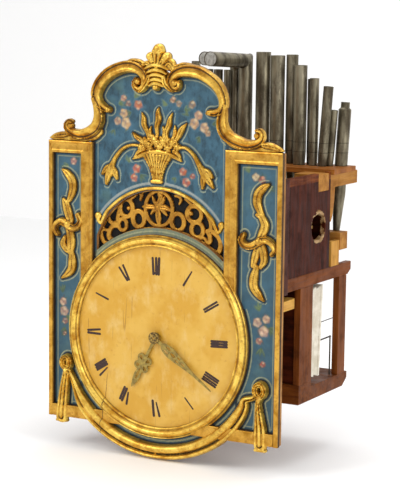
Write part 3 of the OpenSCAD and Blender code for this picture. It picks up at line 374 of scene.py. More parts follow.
# Light, dark and pore colours of the woods that several finishes share
WALNUT = ("#4e1e0c", "#2a0e06", "#130503")
DEAL = ("#b5803c", "#8e5a22", "#4e2c0e")
FINISHES = {
    "gilding": (gilding,),
    # Burnished gilding: the brightest leaf, on the shell, the arch, the swag and the ring round the dial
    "gilding_bright": (gilding, "burnished_water_gilding", "#f6d263", "#c08a28", "#3a2008", "#96561a"),
    # Oil gilding on the pierced screen: leaf over varnish, flatter and browner than the burnished work
    "gilding_flat": (gilding, "oil_gilding_on_pierced_work", "#cf993c", "#9a6824", "#3a200a", "#6e4218"),
    # Gilding on the flat bars, rubbed by dusting: duller and browner than the carvings
    "gilding_bar": (gilding, "dusted_water_gilding", "#d9a848", "#aa7620", "#2e1806", "#8c541a"),
    "distemper": (distemper,),
    "dial": (dial_paint,),
    # Bone black in thin oil: a soft brown-black, dull where the brush ran dry
    "numeral": (plain_paint, "bone_black_oil_strokes", "#230d08", "#3a1c10", 5, 0.5),
    # Cut brass, once gilt and now olive: hardly brighter than the dial behind it
    "hand": (plain_paint, "olive_tarnished_cut_brass", "#a48c40", "#7e6a32", 9, 0.45, 0.35),
    # Turned brass boss, blackened by oil and dust
    "hub": (metal, "blackened_turned_brass", "#b0924e", "#6e562a", "#33260f", 0.4, 0.8, 5, 0.6),
    # Walnut under a red stain: deep, nearly black in the pores, with a dull skin
    "walnut": (timber, "red_stained_walnut_upright", *WALNUT, "z", 3.0, 0.42, 0.6),
    "walnut_split": (broken_walnut,),
    "walnut_deep": (timber, "red_stained_walnut_along", *WALNUT, "x", 3.0, 0.42, 0.6),
    # Bare poplar behind the gilding: dry, plain and pale brown
    "board": (timber, "bare_poplar_board", "#b98a54", "#8a5f34", "#4c3018", "z", 4.5, 0.65, 0.5),
    # Waxed oak: warm brown with dark pores, a little duller where hands never came
    "oak_y": (timber, "brown_waxed_oak_beams", "#7e4418", "#5a2c0e", "#2c1406", "y", 3.4, 0.5, 0.45),
    "oak_x": (timber, "brown_waxed_oak_boards", "#764016", "#52280c", "#281206", "x", 3.4, 0.5, 0.45),
    "oak_z": (timber, "brown_waxed_oak_posts", "#80461a", "#5c2e10", "#2c1406", "z", 3.4, 0.5, 0.45),
    # Fir with an orange wax, and bare deal: broad soft bands that catch little light
    "rack": (timber, "orange_waxed_fir_rack", "#a0642a", "#7c461a", "#44220a", "x", 3.8, 0.5, 0.4),
    "deal_x": (timber, "bare_deal_rails", *DEAL, "x", 4.2, 0.6, 0.35),
    "deal_z": (timber, "bare_deal_blocks", "#cf9a48", "#a87430", "#5e3812", "z", 4.2, 0.6, 0.35),
    "deal_y": (timber, "bare_deal_along", *DEAL, "y", 4.2, 0.6, 0.35),
    "lug": (timber, "planed_deal_lugs", "#d8a850", "#b07c34", "#6a4216", "y", 4.2, 0.55, 0.3),
    "pipe": (organ_metal,),
    # Crust of lead oxide on the open ends of the mitred pipes: pale, chalky grey
    "pipe_end": (plain_paint, "crusted_lead_oxide", "#b4b2aa", "#8c8a84", 6, 0.75),
    # The works: lacquered brass, filed steel and drawn iron, each dulled by old oil
    "brass": (metal, "lacquered_clock_brass", "#c79a45", "#9c7430", "#5a4420", 0.3, 1.0, 12, 0.5),
    "steel": (metal, "filed_clock_steel", "#8d8a84", "#5f5a54", "#3c2f26", 0.35, 1.0, 8, 0.5),
    "wire": (metal, "drawn_iron_wire", "#5c5650", "#3a342e", "#2a1c14", 0.45, 1.0, 6, 0.5),
    "cloth": (cloth,),
    "leather": (tawed_leather,),
    "floor": (studio, "matt_white_studio_floor", "#ffffff"),
}
_made = {}


def finish(name):
    """The material of that finish, made once."""
    if name not in _made:
        make, *values = FINISHES[name]
        _made[name] = make(*values)
    return _made[name]


# ---------------------------------------------------------------- mesh helpers

# Steps for edit()
EVERYTHING = (bpy.ops.mesh.select_all, {"action": "SELECT"})
OUTWARDS = (bpy.ops.mesh.normals_make_consistent, {"inside": False})


def deselect():
    if bpy.context.object and bpy.context.object.mode != "OBJECT":
        bpy.ops.object.mode_set(mode="OBJECT")
    bpy.ops.object.select_all(action="DESELECT")


def activate(obj):
    """Makes obj the only selected object, and the active one."""
    deselect()
    obj.select_set(True)
    bpy.context.view_layer.objects.active = obj


def primitive(name, add, **settings):
    """Adds a primitive with these settings under that name."""
    deselect()
    add(**settings)
    obj = bpy.context.object
    obj.name = obj.data.name = name
    return obj


def vertices(obj):
    """The mesh's corners, one row each."""
    co = np.empty(len(obj.data.vertices) * 3)
    obj.data.vertices.foreach_get("co", co)
    return co.reshape(-1, 3)


def set_vertices(obj, co):
    obj.data.vertices.foreach_set("co", np.ascontiguousarray(co, dtype=float).ravel())
    obj.data.update()


def grid(name, x0, x1, z0, z1, cell):
    """A flat grid primitive standing in the drawing's x and z."""
    nx, nz = (max(2, round(length / cell)) for length in (x1 - x0, z1 - z0))
    obj = primitive(name, bpy.ops.mesh.primitive_grid_add, x_subdivisions=nx, y_subdivisions=nz, size=1)
    co = vertices(obj) + 0.5
    flat = np.stack([x0 + co[:, 0] * (x1 - x0), 0 * co[:, 0], z0 + co[:, 1] * (z1 - z0)], 1)
    set_vertices(obj, flat * MM)
    return obj


def edit(*steps):
    """Runs operators in edit mode on the whole active mesh: (operator, settings) pairs."""
    bpy.ops.object.mode_set(mode="EDIT")
    bpy.ops.mesh.select_all(action="SELECT")
    for operator, settings in steps:
        operator(**settings)
    bpy.ops.object.mode_set(mode="OBJECT")


def keep_positive(obj, field):
    """Bisects a flat grid where field is zero, and keeps what is over it."""
    reach = 6
    co = vertices(obj)
    co[:, 1] = np.clip(field, -reach, reach) * MM
    set_vertices(obj, co)
    edit((bpy.ops.mesh.bisect, {"plane_co": (0, 0, 0), "plane_no": (0, 1, 0), "clear_inner": True}))
    co = vertices(obj)
    co[:, 1] = 0
    set_vertices(obj, co)


def thicken(obj):
    """Extrudes a flat sheet towards the front, and returns which vertices are its front."""
    edit((bpy.ops.mesh.extrude_region_move, {"TRANSFORM_OT_translate": {"value": (0, -MM, 0)}}))
    front = np.empty(len(obj.data.vertices), bool)
    obj.data.vertices.foreach_get("select", front)
    return front


def solidify(obj, thickness):
    """Gives a sheet its thickness, behind its face."""
    activate(obj)
    obj.modifiers.new("thickness", "SOLIDIFY").thickness = thickness
    bpy.ops.object.modifier_apply(modifier="thickness")


def smoothed(obj, values, rounds):
    """Values at the vertices, averaged with their neighbours."""
    edges = np.empty(len(obj.data.edges) * 2, int)
    obj.data.edges.foreach_get("vertices", edges)
    a, b = edges[0::2], edges[1::2]
    count = np.bincount(a, minlength=len(values)) + np.bincount(b, minlength=len(values)) + 1.0
    for _ in range(rounds):
        total = values + np.bincount(a, values[b], len(values)) + np.bincount(b, values[a], len(values))
        values = total / count
    return values


def attribute(obj, name, values):
    """Stores a number or a colour at each vertex."""
    kind = "FLOAT" if values.ndim == 1 else "FLOAT_COLOR"
    layer = obj.data.attributes.new(name, kind, "POINT")
    layer.data.foreach_set("value" if values.ndim == 1 else "color", np.ascontiguousarray(values, np.float32).ravel())


def choose_faces(obj, mask):
    """Selects only these faces, with their edges and corners, and makes obj the active one."""
    activate(obj)
    mesh = obj.data
    mesh.vertices.foreach_set("select", [False] * len(mesh.vertices))
    mesh.edges.foreach_set("select", [False] * len(mesh.edges))
    mesh.polygons.foreach_set("select", list(mask))
    for face in mesh.polygons:
        if face.select:
            for i in face.vertices:
                mesh.vertices[i].select = True


def smooth(obj, degrees=40):
    activate(obj)
    bpy.ops.object.shade_smooth_by_angle(angle=math.radians(degrees))


def settle(obj, finish_name, body, slot, *nodes):
    """Gives a finished piece its material and its body, and hides the CAD nodes that it stands for; slot is not used.
    """
    obj.data.materials.clear()
    obj.data.materials.append(finish(finish_name))
    if body:
        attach(obj, body)
    if nodes:
        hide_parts(*nodes)
    return obj


def to_frame(obj):
    """Moves a mesh from the carver's drawing to the frame."""
    obj.data.transform(Matrix.Translation(SHIFT * MM))
    return obj


# ---------------------------------------------------------------- carving


def mirrored(places, heights):
    """A cross section that is the same on both sides of its middle."""
    return [-u for u in places[:0:-1]] + places, heights[:0:-1] + heights


# Cross sections of a carved member: where across it from -1 to 1, and how high there from 0 to 1
SECTIONS = {
    "roll": mirrored([0, 0.4, 0.7, 0.9, 1], [1, 0.97, 0.84, 0.6, 0.34]),
    "cove": (
        [-1, -0.92, -0.8, -0.62, -0.45, -0.25, 0, 0.25, 0.45, 0.57, 0.66, 0.74, 0.86, 0.94, 1],
        [0.35, 0.62, 0.84, 0.97, 1, 0.97, 0.86, 0.71, 0.6, 0.58, 0.66, 0.84, 0.92, 0.8, 0.42],
    ),
    "folds": mirrored(
        [0, 0.15, 0.28, 0.36, 0.5, 0.66, 0.8, 0.93, 1], [1, 0.92, 0.62, 0.56, 0.78, 0.86, 0.8, 0.6, 0.3]
    ),
    "swag": (
        [-1, -0.9, -0.75, -0.6, -0.45, -0.33, -0.24, -0.12, 0, 0.2, 0.35, 0.5, 0.7, 0.85, 0.95, 1],
        [0.35, 0.62, 0.8, 0.84, 0.7, 0.42, 0.4, 0.62, 0.86, 0.98, 1, 0.98, 0.9, 0.74, 0.55, 0.35],
    ),
    "leaf": mirrored([0, 0.12, 0.35, 0.6, 0.85, 1], [0.58, 0.78, 0.97, 0.95, 0.7, 0.35]),
    "flat": mirrored([0, 0.75, 0.9, 1], [1, 0.95, 0.82, 0.5]),
    "groove": mirrored([0, 1], [1, 0]),
}


def spline(points, step):
    """Points along a smooth curve through rows of x, z, half width and any more numbers, about step mm apart."""
    p = np.array(points, float)
    if len(p) == 1:
        return p
    q = np.vstack([2 * p[0] - p[1], p, 2 * p[-1] - p[-2]])
    rows = []
    for i in range(1, len(q) - 2):
        a, b, c, d = q[i - 1], q[i], q[i + 1], q[i + 2]
        n = max(2, int(math.hypot(*(c - b)[:2]) / step))
        t = np.arange(n)[:, None] / n
        rows.append(0.5 * (2 * b + (c - a) * t + (2 * a - 5 * b + 4 * c - d) * t**2 + (3 * b - a - 3 * c + d) * t**3))
    rows.append(q[-2][None])
    return np.vstack(rows)


def stroke(points, height, section="roll", step=2.0):
    """One carved member: its path with half widths, its height, and its cross section."""
    p = spline(points, step)
    tangent = np.gradient(p[:, :2], axis=0) if len(p) > 1 else np.array([[1.0, 0.0]])
    high = np.interp(np.linspace(0, 1, len(p)), np.linspace(0, 1, len(np.atleast_1d(height))), np.atleast_1d(height))
    return p[:, :2], np.maximum(p[:, 2], 0.3), tangent, high, SECTIONS[section]


def knob(x, z, r, height):
    """A round boss."""
    return stroke([(x, z, r)], height)


def leaves(paths, height):
    return [stroke(path, height, "leaf") for path in paths]


def ring(cx, cz, rx, rz, half, height, section, steps=28):
    """A closed oval member."""
    around = [2 * math.pi * k / steps for k in range(steps + 1)]
    return stroke([(cx + rx * math.cos(a), cz + rz * math.sin(a), half) for a in around], height, section)


def spoke(cx, cz, r, degrees, half):
    """A point of a stroke, r out from the middle."""
    a = math.radians(degrees)
    return cx + r * math.cos(a), cz + r * math.sin(a), half


def polar(cx, cz, r, a0, a1, half, steps=24):
    """Points on an arc from a0 to a1 degrees."""
    return [spoke(cx, cz, r, a0 + (a1 - a0) * k / steps, half) for k in range(steps + 1)]


def across(item, x, z):
    """For each point: how far inside one member's outline it is, and how high the member is there."""
    path, half, tangent, high, section = item
    inside = np.full(len(x), -FAR)
    level = np.zeros(len(x))
    # Points farther off than this keep the values above, and the rest are taken some thousands at a time
    margin, batch = half.max() + 14, 4000
    near = np.flatnonzero(
        (x > path[:, 0].min() - margin)
        & (x < path[:, 0].max() + margin)
        & (z > path[:, 1].min() - margin)
        & (z < path[:, 1].max() + margin)
    )
    for start in range(0, len(near), batch):
        part = near[start : start + batch]
        dx = x[part, None] - path[None, :, 0]
        dz = z[part, None] - path[None, :, 1]
        u = np.hypot(dx, dz) / half
        i = u.argmin(1)
        rows = np.arange(len(part))
        u = u[rows, i]
        side = np.sign(tangent[i, 0] * dz[rows, i] - tangent[i, 1] * dx[rows, i])
        inside[part] = (1 - u) * half[i]
        level[part] = np.where(u < 1, high[i] * np.interp(np.where(side < 0, -u, u), *section), 0)
    return inside, level


def relief(strokes, cuts, x, z):
    """The outline and the height of a whole relief at each point."""
    inside, level = np.full(len(x), -FAR), np.zeros(len(x))
    for item in strokes:
        i, h = across(item, x, z)
        inside, level = np.maximum(inside, i), np.maximum(level, h)
    for item in cuts:
        level = level - across(item, x, z)[1]
    return inside, level


def carve(name, box, cell, strokes, cuts=(), holes=(), wall=PANEL_Y, rounds=5, lowest=1.2, ceiling=None):
    """Carves a relief from a board: its outline is bisected from a grid, extruded, and its front given its heights.

    The wear and shade attribute says how deep each point lies among its neighbours: above zero in a hollow, below on a
    ridge; the walls and the back get a high value, which the gilding turns into painted shade.
    """
    # back is the value of the walls and the back: painted shade, which the gilding darkens to brown
    gain, steep, back = 0.4, 2.4, 0.9
    obj = grid(name, *box, cell)
    co = vertices(obj) / MM
    inside, _ = relief(strokes, (), co[:, 0], co[:, 2])
    if holes:
        inside = np.minimum(inside, -relief(holes, (), co[:, 0], co[:, 2])[0])
    keep_positive(obj, inside)
    front = thicken(obj)
    co = vertices(obj) / MM
    level = np.zeros(len(co))
    level[front] = np.maximum(relief(strokes, cuts, co[front, 0], co[front, 2])[1], lowest)
    if ceiling:
        level[front] = np.minimum(level[front], ceiling(co[front, 0], co[front, 2]))
    co[:, 1] = wall - level
    set_vertices(obj, co * MM)
    edit(OUTWARDS)
    sunk = smoothed(obj, level, rounds) - level
    wear_and_shade = np.where(front, np.clip(sunk * gain, -1, 1), back)
    edge = front & (np.abs(sunk) > steep)
    wear_and_shade[edge] = np.clip(wear_and_shade[edge], -0.4, 0.45)
    attribute(obj, "wear_and_shade", wear_and_shade)
    smooth(obj, 50)
    return to_frame(obj)


# Members of the crest, as x, z and half width in millimetres
LEFT_CREST = [
    ([(-140, 722, 7), (-153, 728, 8.5), (-165, 739, 10), (-171, 754, 12), (-167, 770, 13.5), (-155, 788, 14),
      (-136, 804, 14.5), (-112, 815, 14.5), (-88, 820, 14), (-66, 817, 12.5), (-50, 807, 10.5), (-43, 793, 9),
      (-46, 778, 8), (-57, 770, 7), (-68, 774, 6), (-73, 784, 5), (-69, 793, 4.5)], (17, 20, 20.5, 20, 15), "cove"),
    ([(-176, 746, 8), (-169, 730, 10), (-165, 712, 12), (-166, 696, 13.5), (-174, 681, 14), (-190, 670, 13.5),
      (-210, 664, 12), (-230, 665, 10), (-246, 672, 8), (-252, 683, 6.5), (-246, 692, 5.5), (-238, 691, 4.5)],
     (18, 20, 20, 15), "cove"),
    ([(-298, 651, 2.5), (-284, 657, 6), (-266, 660, 7.5), (-252, 662, 6)], (9, 14), "leaf"),
    ([(-292, 650, 3), (-262, 652, 5), (-230, 653, 6), (-200, 655, 8), (-180, 661, 10), (-165, 671, 8)], (7, 8), "flat"),
]
RIGHT_CREST = [
    ([(119, 726, 7), (132, 726, 8), (147, 731, 9), (155, 743, 10.5), (154, 758, 11.5), (147, 774, 12.5),
      (134, 789, 13.5), (115, 802, 14), (92, 812, 14.5), (66, 815, 14.5), (44, 812, 12), (28, 803, 9.5),
      (22, 792, 8), (25, 780, 7), (35, 774, 6), (43, 780, 5), (43, 790, 4.5)], (17, 20, 20.5, 20, 15), "cove"),
    ([(156, 740, 8), (153, 722, 10.5), (152, 704, 12.5), (157, 688, 13.5), (170, 675, 13.5), (190, 666, 13),
      (212, 661, 11.5), (232, 663, 9.5), (247, 671, 7.5), (251, 683, 6), (245, 692, 5), (236, 692, 4)],
     (18, 20, 20, 15), "cove"),
    ([(298, 651, 2.5), (284, 656, 6), (268, 660, 7.5), (254, 661, 6)], (9, 14), "leaf"),
    ([(292, 650, 3), (262, 651, 5), (230, 652, 6), (200, 653, 7), (176, 661, 9), (158, 673, 8)], (7, 8), "flat"),
]


def crest_members():
    """Members of the crest's left half and of its right half."""
    left = [stroke(*row) for row in LEFT_CREST]
    # Drawn backwards, so that the cross section keeps its outer side
    right = [stroke(points[::-1], height[::-1], section) for points, height, section in RIGHT_CREST]
    left += [knob(-61.5, 788, 8.5, 19), knob(-241, 681, 7.5, 17), knob(-139, 722, 7.5, 18)]
    right += [knob(33, 787.5, 8.5, 19), knob(237, 681, 7.5, 17), knob(120, 726, 7, 18)]
    left += leaves([[(-98, 825, 5), (-82, 832, 6.5), (-62, 831, 6), (-48, 826, 4)]], 12)
    right += leaves([[(34, 822, 5), (50, 828, 5.5), (74, 827, 4)]], 12)
    return left, right


# The shell's ribs, as height, half width and arch; the palmette's leaves with their heights, and its round tips
RIBS = [(784, 17, 3), (793.5, 18, 3.5), (803.5, 21, 4), (813.5, 25, 5), (824, 29, 6)]
PALMETTE = [
    ([(-33, 800, 5), (-38, 786, 7), (-49, 773, 7), (-57, 766, 4)], (17, 19, 14)),
    ([(5, 800, 5), (9, 786, 7), (17, 776, 6.5), (24, 770, 4)], (17, 19, 14)),
    ([(-13, 823, 7), (-12, 838, 9), (-11, 850, 12.5), (-10.5, 859, 13.5)], (17, 19, 20)),
    ([(-16, 824, 5), (-24, 834, 8), (-30, 843, 10)], (14, 19)), ([(-5, 824, 5), (2, 834, 8), (10, 843, 10)], (14, 19)),
    ([(-32, 822, 6), (-42, 829, 6), (-51, 824, 4)], 11), ([(30, 822, 6), (44, 826, 4), (52, 821, 2.5)], 11),
    ([(2, 822, 7), (12, 833, 8), (22, 831, 8), (28, 820, 6)], 12),
]
TIPS = [
    (-15, 776, 8, 20), (-10.5, 860, 13, 20.5), (-18, 856, 7.5, 20), (-3, 856, 7.5, 20), (-30.5, 844, 10.5, 19.5),
    (-25, 836, 8, 18), (10.5, 844, 10.5, 19.5), (5, 836, 8, 18), (-35, 826, 7, 10), (17, 822, 9, 10), (24, 812, 7, 9),
]


def finial_members():
    members = [stroke(points, height, "leaf") for points, height in PALMETTE] + [knob(*tip) for tip in TIPS]
    for z, wide, arch in RIBS:
        low = z - arch - 1.5
        rib = [(-15 - wide, low, 3.4), (-15 - wide * 0.5, z - 0.6, 5), (-15, z + arch * 0.3, 5.4),
               (-14 + wide * 0.5, z - 0.6, 5), (-14 + wide, low, 3.4)]
        members.append(stroke(rib, (15, 20.5, 15)))
    return members


# Rows of the basket, as height and half width; its flowers, as x, z and radius; its upright and its rim's leaves;
# and its two hanging stems, each with its bud, two side petals and middle petal
ROWS = [(575, 12.5), (582, 13.5), (589, 15.5), (596, 18), (603, 21.5), (610, 26), (617, 31), (623, 35)]
FLOWERS = [
    (-44, 653, 12), (-22, 658, 13.5), (1, 656, 13.5), (24, 655, 12.5), (37, 646, 9), (-57, 642, 8), (-10, 643, 10),
    (13, 642, 9), (-34, 642, 9),
]
UPRIGHT_LEAVES = [
    [(-15, 672, 4), (-16, 690, 5.5), (-12, 706, 7.5), (-14, 720, 5.5), (-12, 731, 1.8)],
    [(-36, 660, 4), (-40, 676, 5), (-49, 692, 6.5), (-50, 706, 5.5), (-55, 718, 1.8)],
    [(-46, 648, 4), (-57, 658, 6.5), (-68, 664, 5.5), (-79, 673, 1.8)],
    [(-30, 664, 3), (-33, 676, 4), (-31, 688, 1.8)], [(1, 664, 3), (4, 678, 4), (0, 690, 1.8)],
    [(10, 660, 4), (8, 678, 5.5), (15, 694, 6.5), (17, 706, 5), (23, 720, 1.8)],
    [(28, 655, 4), (39, 668, 5.5), (47, 684, 7), (59, 699, 1.8)], [(26, 664, 3), (31, 678, 4.5), (30, 692, 1.8)],
]
RIM = [(-78, 614, 2), (-63, 620, 4.5), (-42, 628, 5.5), (-15, 633, 6), (14, 629, 5.5), (34, 622, 4.5), (47, 615, 2)]
RIM_LEAVES = [[(-74, 618, 2), (-63, 631, 4.5), (-48, 638, 5)], [(46, 618, 2), (40, 629, 4.5), (28, 636, 5)]]
STEMS = [
    ([(-48, 643, 3.5), (-80, 645, 3.6), (-105, 635, 4.2), (-124, 614, 5), (-131, 600, 6)],
     [(-131, 603, 5), (-135, 590, 9.5), (-138, 577, 8)],
     [[(-136, 596, 4), (-147, 589, 7), (-158, 576, 3.5)], [(-134, 594, 4), (-126, 582, 7.5), (-120, 567, 3.5)]],
     [(-138, 592, 5), (-143, 573, 8), (-147, 554, 3.5)]),
    ([(35, 644, 3.5), (58, 645, 3.6), (78, 631, 4.2), (92, 610, 6)],
     [(93, 608, 5), (102, 595, 9.5), (109, 582, 8)],
     [[(100, 600, 4), (114, 595, 7), (126, 584, 3.5)], [(102, 594, 4), (103, 577, 7.5), (102, 559, 3.5)]],
     [(105, 593, 5), (116, 578, 8), (128, 562, 3.5)]),
]


def basket_members():
    members = [stroke([(-27, 566, 4.5), (-4, 566, 4.5)], 7.5), stroke(RIM, (5, 9, 9, 5))]
    members += leaves(RIM_LEAVES, (6, 7)) + leaves(UPRIGHT_LEAVES, (6, 9, 9, 5))
    for k, (z, wide) in enumerate(ROWS):
        members.append(stroke([(-11 - wide, z, 5.2), (-17 + wide, z, 5.2)], 7 + 0.2 * k, "flat"))
    for x, z, r in FLOWERS:
        members.append(knob(x, z, 0.5 * r, 9))
        for k in range(6):
            a = 1.0472 * k + 0.1 * x
            ux, uz = r * math.cos(a), r * math.sin(a)
            petal = [(x + 0.42 * ux, z + 0.42 * uz, 0.3 * r), (x + 0.78 * ux, z + 0.78 * uz, 0.34 * r)]
            members.append(stroke(petal, 8.2, "leaf", 1.0))
    for stem, bud, sides, middle in STEMS:
        members.append(stroke(stem, (6, 8.4, 8.8, 8)))
        members += leaves([bud], (8, 9, 9)) + leaves(sides, (6, 8.2, 7)) + leaves([middle], (8, 9, 8))
    return members


def basket_cuts():
    """Grooves between the basket's staves, and three rows across them."""
    cuts = []
    for k in np.arange(-3.5, 4):
        stave = [(-15 + 3.3 * k, 572, 1.2), (-14.5 + 4.6 * k, 598, 1.3), (-14 + 8.6 * k, 627, 1.5)]
        cuts.append(stroke(stave, 4.2, "groove", 1.5))
    for z, wide in ((586, 13), (600, 19), (613, 27)):
        row = [(-14 - wide, z, 0.9), (-14, z - 1.5, 0.9), (-14 + wide, z, 0.9)]
        cuts.append(stroke(row, 1.6, "groove", 1.5))
    return cuts


# Middle of the arch over the screen, its radius, and that of the window's foot about the dial
ARCH = (-10.0, 369.5, 182.0)
FOOT = 247.0
RINGS = [
    # x, z, half its width, half its height, and half its band
    (-17, 504, 35, 40, 4.7), (-70, 477, 15, 18, 5.8), (32, 477, 16, 19, 5.5), (-103, 500, 17, 20, 5.5),
    (74, 498, 18.5, 18, 5.5), (82, 463, 15, 17, 5.5), (97, 438, 8.5, 8, 4), (-112, 461, 10.5, 13, 4.8),
]
# The pierced screen's middle cross and its leaves, and its bands
CROSS = [
    [(-24, 508, 4), (-16, 520, 6.5), (-12, 534, 5)], [(-24, 507, 4), (-42, 507, 6.5), (-58, 506, 3)],
    [(-16, 507, 4), (0, 507, 6.5), (18, 501, 3)], [(-20, 500, 5), (-19, 486, 7.5), (-16, 466, 4)],
    [(-17, 534, 3.5), (-17, 547, 3.5)], [(-80, 533, 4.5), (-70, 537, 5), (-63, 534, 5), (-65, 520, 2.5)],
    [(-19, 506, 3.5), (-29, 500, 5), (-37, 491, 2.5)], [(-15, 506, 3.5), (-5, 499, 5), (4, 490, 2.5)],
    [(-19, 509, 3.5), (-28, 519, 4.5), (-33, 530, 2.5)], [(-15, 509, 3.5), (-7, 520, 4.5), (-3, 531, 2.5)],
]
BANDS = [
    [(26, 536, 4), (36, 535, 5), (40, 528, 4), (36, 518, 2.5)],
    [(107, 499, 5), (115, 485, 5.2), (117, 470, 5.2), (108, 460, 5.2)],
    [(108, 462, 5.5), (114, 452, 6), (114, 440, 6), (105, 431, 5)],
    [(122, 462, 6), (137, 450, 6.5), (142, 432, 6.5), (135, 416, 6), (126, 418, 5)], [(137, 450, 6), (156, 447, 6)],
    [(-118, 502, 5.2), (-124, 482, 5.2), (-125, 463, 5)],
    [(-152, 492, 5.2), (-150, 472, 5.2), (-140, 463, 5), (-126, 465, 5)],
    [(-126, 458, 6), (-138, 456, 6), (-147, 445, 6), (-149, 430, 6), (-141, 424, 6), (-137, 417, 4)],
    [(-160, 465, 5), (-168, 450, 5.2), (-170, 435, 5.2), (-163, 419, 5.2), (-154, 415, 5)],
    [(-149, 445, 4), (-168, 447, 4)], [(-95, 519, 4), (-80, 530, 4.5)], [(74, 514, 4), (52, 531, 4.5)],
]


def window(x, z, grown=0.0):
    """How far inside the window of the board each point lies."""
    cx, cz, r = ARCH
    round_top, side, foot = r - 5.5 - np.hypot(x - cx, z - cz), 165 - np.abs(x - cx), from_dial(x, z) - FOOT
    return np.minimum.reduce([round_top, side, foot]) + grown


def from_dial(x, z):
    """How far each point lies from the dial's middle."""
    return np.hypot(x - AXIS[0], z - AXIS[1])


def fret_members():
    members = [ring(*row, 6.2, "flat") for row in RINGS]
    members += [stroke(points, 6.2, "flat") for points in BANDS]
    members += leaves(CROSS, (6.5, 7.5, 6.5))
    members += [knob(-20, 505, 6, 8), knob(-97, 500, 5, 6.4), knob(65, 499, 5.5, 6.4)]
    cx, cz, r = ARCH
    for rim in (polar(cx, cz, r - 1, 36, 144, 6), polar(*AXIS, FOOT - 4, 50, 130, 5.5)):
        members.append(stroke(rim, 3.8, "flat"))
    return members


# The hanging ribbons: their leaves, and the scrolls that cross them
RIBBONS = [
    [(-266, 579, 3), (-254, 571, 8.5), (-241, 557, 10.5), (-238, 538, 10.5), (-244, 520, 8.5), (-250, 508, 5)],
    [(-264, 510, 4.5), (-258, 499, 9.5), (-252, 482, 11), (-246, 464, 9.5), (-250, 452, 9)],
    [(-252, 448, 9), (-245, 430, 10.5), (-243, 410, 11.5), (-245, 390, 8.5)],
    [(-260, 424, 4), (-265, 408, 7.5), (-256, 395, 7.5), (-244, 388, 6)],
    [(-243, 392, 6), (-240, 372, 10.5), (-241, 352, 11), (-251, 339, 8.5), (-268, 327, 3)],
    [(265, 577, 3), (252, 569, 8.5), (240, 556, 10.5), (237, 537, 10.5), (243, 520, 8.5), (251, 509, 5)],
    [(237, 509, 4.5), (248, 505, 8), (257, 487, 10.5), (250, 467, 10), (244, 452, 9)],
    [(246, 448, 8.5), (254, 430, 10), (256, 410, 8.5), (248, 395, 5)],
    [(240, 440, 6), (235, 418, 9.5), (229, 397, 6)],
    [(238, 394, 6), (232, 372, 10.5), (232, 351, 10.5), (243, 335, 8.5), (256, 322, 3)],
]
ARMS = [
    [(-250, 451, 9), (-236, 446, 8.5), (-222, 451, 8), (-214, 464, 7), (-221, 477, 6.5)],
    [(-252, 453, 9), (-268, 460, 8.5), (-281, 452, 7.5), (-285, 440, 6.5), (-278, 429, 5.5)],
    [(244, 451, 9), (226, 441, 8.5), (210, 442, 8), (202, 453, 7), (207, 464, 6)],
    [(246, 452, 9), (262, 456, 8.5), (277, 449, 7.5), (284, 436, 6.5), (277, 426, 5.5)],
]


def ribbon_members():
    members = leaves(RIBBONS, (6, 9, 8.8, 6))
    members += [stroke(points, (13, 15, 15, 13), "cove") for points in ARMS]
    return members + [knob(-250, 453, 10, 15.5), knob(245, 451, 10, 15.5)]


# The swag's lower edge, as degrees and radius about the dial; its bows, as x, z and radius; its tails with their hems
SWAG_EDGE = [
    (209.5, 262), (214, 268), (219, 276), (224, 281), (232, 282.5), (242, 282.3), (252, 281.7), (262, 281.4),
    (272, 281.4), (282, 281.9), (292, 282.5), (302, 283), (310, 282.5), (318, 281), (324, 278.5), (329, 273),
    (332.5, 264),
]
BOWS = [(-251, 128, 11.5), (255, 121, 13)]
TAILS = [
    ([(-252, 112, 6.5), (-253, 98, 9), (-257, 70, 11.5), (-261, 40, 13.5), (-264, 12, 15), (-265, -1, 15.5)],
     [(-277, -10, 4), (-253, -10, 4)]),
    ([(252, 104, 5.5), (251, 90, 7), (254, 58, 11), (256, 30, 15), (256, 0, 15.5)],
     [(245, -12, 4.5), (267, -12, 4.5)]),
]


def swag_members():
    inner = 247.0
    arc = [(-246, 116, 5.5), (-239, 103, 6)]
    arc += [spoke(*AXIS, (inner + r) / 2, a, (r - inner) / 2) for a, r in SWAG_EDGE]
    arc += [(236, 103, 6.5), (247, 112, 6)]
    members = [stroke(arc, (15, 18, 20.5, 21, 21, 21, 20.5, 18, 15), "swag")]
    for x, z, r in BOWS:
        members.append(ring(x, z + 2, r * 0.86, r * 1.08, 7.4, 20.5, "folds"))
        members.append(stroke([(x - 2, z - 24, 5), (x, z - 14, 7.5), (x + 1, z - 8, 5)], (17, 20, 15)))
    for tail, hem in TAILS:
        members += [stroke(tail, (16, 19, 18, 17), "folds"), stroke(hem, 14)]
    return members


# ---------------------------------------------------------------- painted fields

